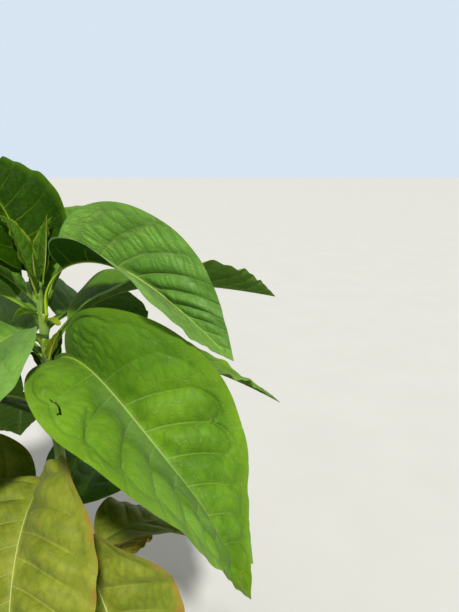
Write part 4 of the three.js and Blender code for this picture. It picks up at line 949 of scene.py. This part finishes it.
# ------------------------------------------------------------------ the growing tip
def make_tip():
    """A bud of small folded leaves, each a closed shell, round the top of the stem."""
    verts, faces, uvs = [], [], []
    x0, y0 = stem_centre(STEM_TOP)
    for k in range(7):
        az = k * 137.5 * DEG
        high = 0.0335 - 0.0022 * k
        wide = 0.0052 + 0.0004 * k
        r0 = 0.0012 + 0.00055 * k
        nr_, nc_ = 22, 15
        base = len(verts)
        lean = 0.06 + 0.045 * k
        for layer in (0, 1):
            for i in range(nr_):
                t = i / (nr_ - 1)
                hw = wide * (math.sin(math.pi * min(1, 0.24 + 0.76 * t)) ** 0.75 if t < 1 else 0.02)
                for j in range(nc_):
                    q = 2 * j / (nc_ - 1) - 1
                    rr = r0 + 0.0024 * math.sin(math.pi * min(1, t * 1.05)) + lean * high * t * t * 0.55
                    bend = q * hw / max(0.0028, rr + 0.0016)
                    rad = rr - (0.0003 if layer == 0 else -0.0003) + 0.0007 * q * q * math.sin(9 * t + k)
                    keel = 0.0006 * math.exp(-(q / 0.12) ** 2) * layer * (1 - t)
                    a = az + bend
                    verts.append((x0 + 0.003 * t + (rad + keel) * math.cos(a), y0 - 0.0015 * t + (rad + keel) * math.sin(a), STEM_TOP - 0.001 + high * t))
        n = nr_ * nc_
        for layer in (0, 1):
            for i in range(nr_ - 1):
                for j in range(nc_ - 1):
                    a = base + layer * n + i * nc_ + j
                    f = (a, a + 1, a + 1 + nc_, a + nc_)
                    faces.append(f if layer else f[::-1])
        def strip(pairs):
            for a, b in pairs:
                faces.append((base + a, base + b, base + b + n, base + a + n))
        strip([(i * nc_, (i + 1) * nc_) for i in range(nr_ - 1)][::1])
        strip([((i + 1) * nc_ + nc_ - 1, i * nc_ + nc_ - 1) for i in range(nr_ - 1)])
        strip([(j + 1, j) for j in range(nc_ - 1)])
        strip([((nr_ - 1) * nc_ + j, (nr_ - 1) * nc_ + j + 1) for j in range(nc_ - 1)])
    me = bpy.data.meshes.new("growing_tip_leaves")
    me.from_pydata(verts, [], faces)
    me.polygons.foreach_set("use_smooth", np.ones(len(me.polygons), dtype=bool))
    mat = bpy.data.materials.new("bud")
    N = Nodes(mat)
    co = N.add("ShaderNodeTexCoord").outputs["Object"]
    col = N.mix(N.step(N.noise(co, 160.0, 3.0), 0.35, 0.7), (.20, .34, .05), (.42, .54, .12))
    bs = N.add("ShaderNodeBsdfPrincipled")
    N.link(col, bs.inputs["Base Color"])
    bs.inputs["Roughness"].default_value = 0.5
    bs.inputs["Sheen Weight"].default_value = 0.3
    bump = N.add("ShaderNodeBump")
    bump.inputs["Strength"].default_value = 0.4
    bump.inputs["Distance"].default_value = 0.0006
    N.link(N.noise(co, 900.0, 2.0), bump.inputs["Height"])
    N.link(bump.outputs[0], bs.inputs["Normal"])
    out = N.add("ShaderNodeOutputMaterial")
    N.link(bs.outputs[0], out.inputs["Surface"])
    me.materials.append(mat)
    ob = bpy.data.objects.new("growing_tip_leaves", me)
    scene.collection.objects.link(ob)
    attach(ob, "root")
    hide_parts("growing_tip")


for name in LEAVES:
    make_leaf(name)
make_stem()
make_tip()

# ------------------------------------------------------------------ floor and light
fm = bpy.data.materials.new("floor")
N = Nodes(fm)
co = N.add("ShaderNodeTexCoord").outputs["Object"]
bs = N.add("ShaderNodeBsdfPrincipled")
N.link(N.mix(N.noise(co, 3.0, 4.0), (.50, .50, .49), (.55, .55, .54)), bs.inputs["Base Color"])
bs.inputs["Roughness"].default_value = 0.9
out = N.add("ShaderNodeOutputMaterial")
N.link(bs.outputs[0], out.inputs["Surface"])
me = bpy.data.meshes.new("floor")
S = 40.0
me.from_pydata([(-S, -S, 0), (S, -S, 0), (S, S, 0), (-S, S, 0)], [], [(0, 1, 2, 3)])
me.materials.append(fm)
floor = bpy.data.objects.new("floor", me)
scene.collection.objects.link(floor)

world = bpy.data.worlds.new("studio")
scene.world = world
world.use_nodes = True
W = world.node_tree
bg = W.nodes["Background"]
bg.inputs[0].default_value = (0.94, 0.97, 0.92, 1)
bg.inputs[1].default_value = 0.36
# the eye sees a paler backdrop than the one that lights the plant
seen = W.nodes.new("ShaderNodeBackground")
seen.inputs[0].default_value = (0.72, 0.82, 0.93, 1)
seen.inputs[1].default_value = 0.95
ray = W.nodes.new("ShaderNodeLightPath")
both = W.nodes.new("ShaderNodeMixShader")
W.links.new(ray.outputs["Is Camera Ray"], both.inputs[0])
W.links.new(bg.outputs[0], both.inputs[1])
W.links.new(seen.outputs[0], both.inputs[2])
W.links.new(both.outputs[0], W.nodes["World Output"].inputs["Surface"])


def sun(name, direction, strength, angle, colour):
    d = bpy.data.lights.new(name, "SUN")
    d.energy = strength
    d.angle = angle * DEG
    d.color = colour
    o = bpy.data.objects.new(name, d)
    scene.collection.objects.link(o)
    o.rotation_euler = Vector(direction).to_track_quat("-Z", "Y").to_euler()


sun("key", (-0.177, 0.659, -0.731), 4.2, 5, (1.0, 0.975, 0.91))
sun("back", (0.35, -0.45, -0.82), 0.8, 20, (1.0, 0.98, 0.93))

scene.view_settings.view_transform = "Standard"
scene.view_settings.look = "None"
scene.view_settings.exposure = 0.0
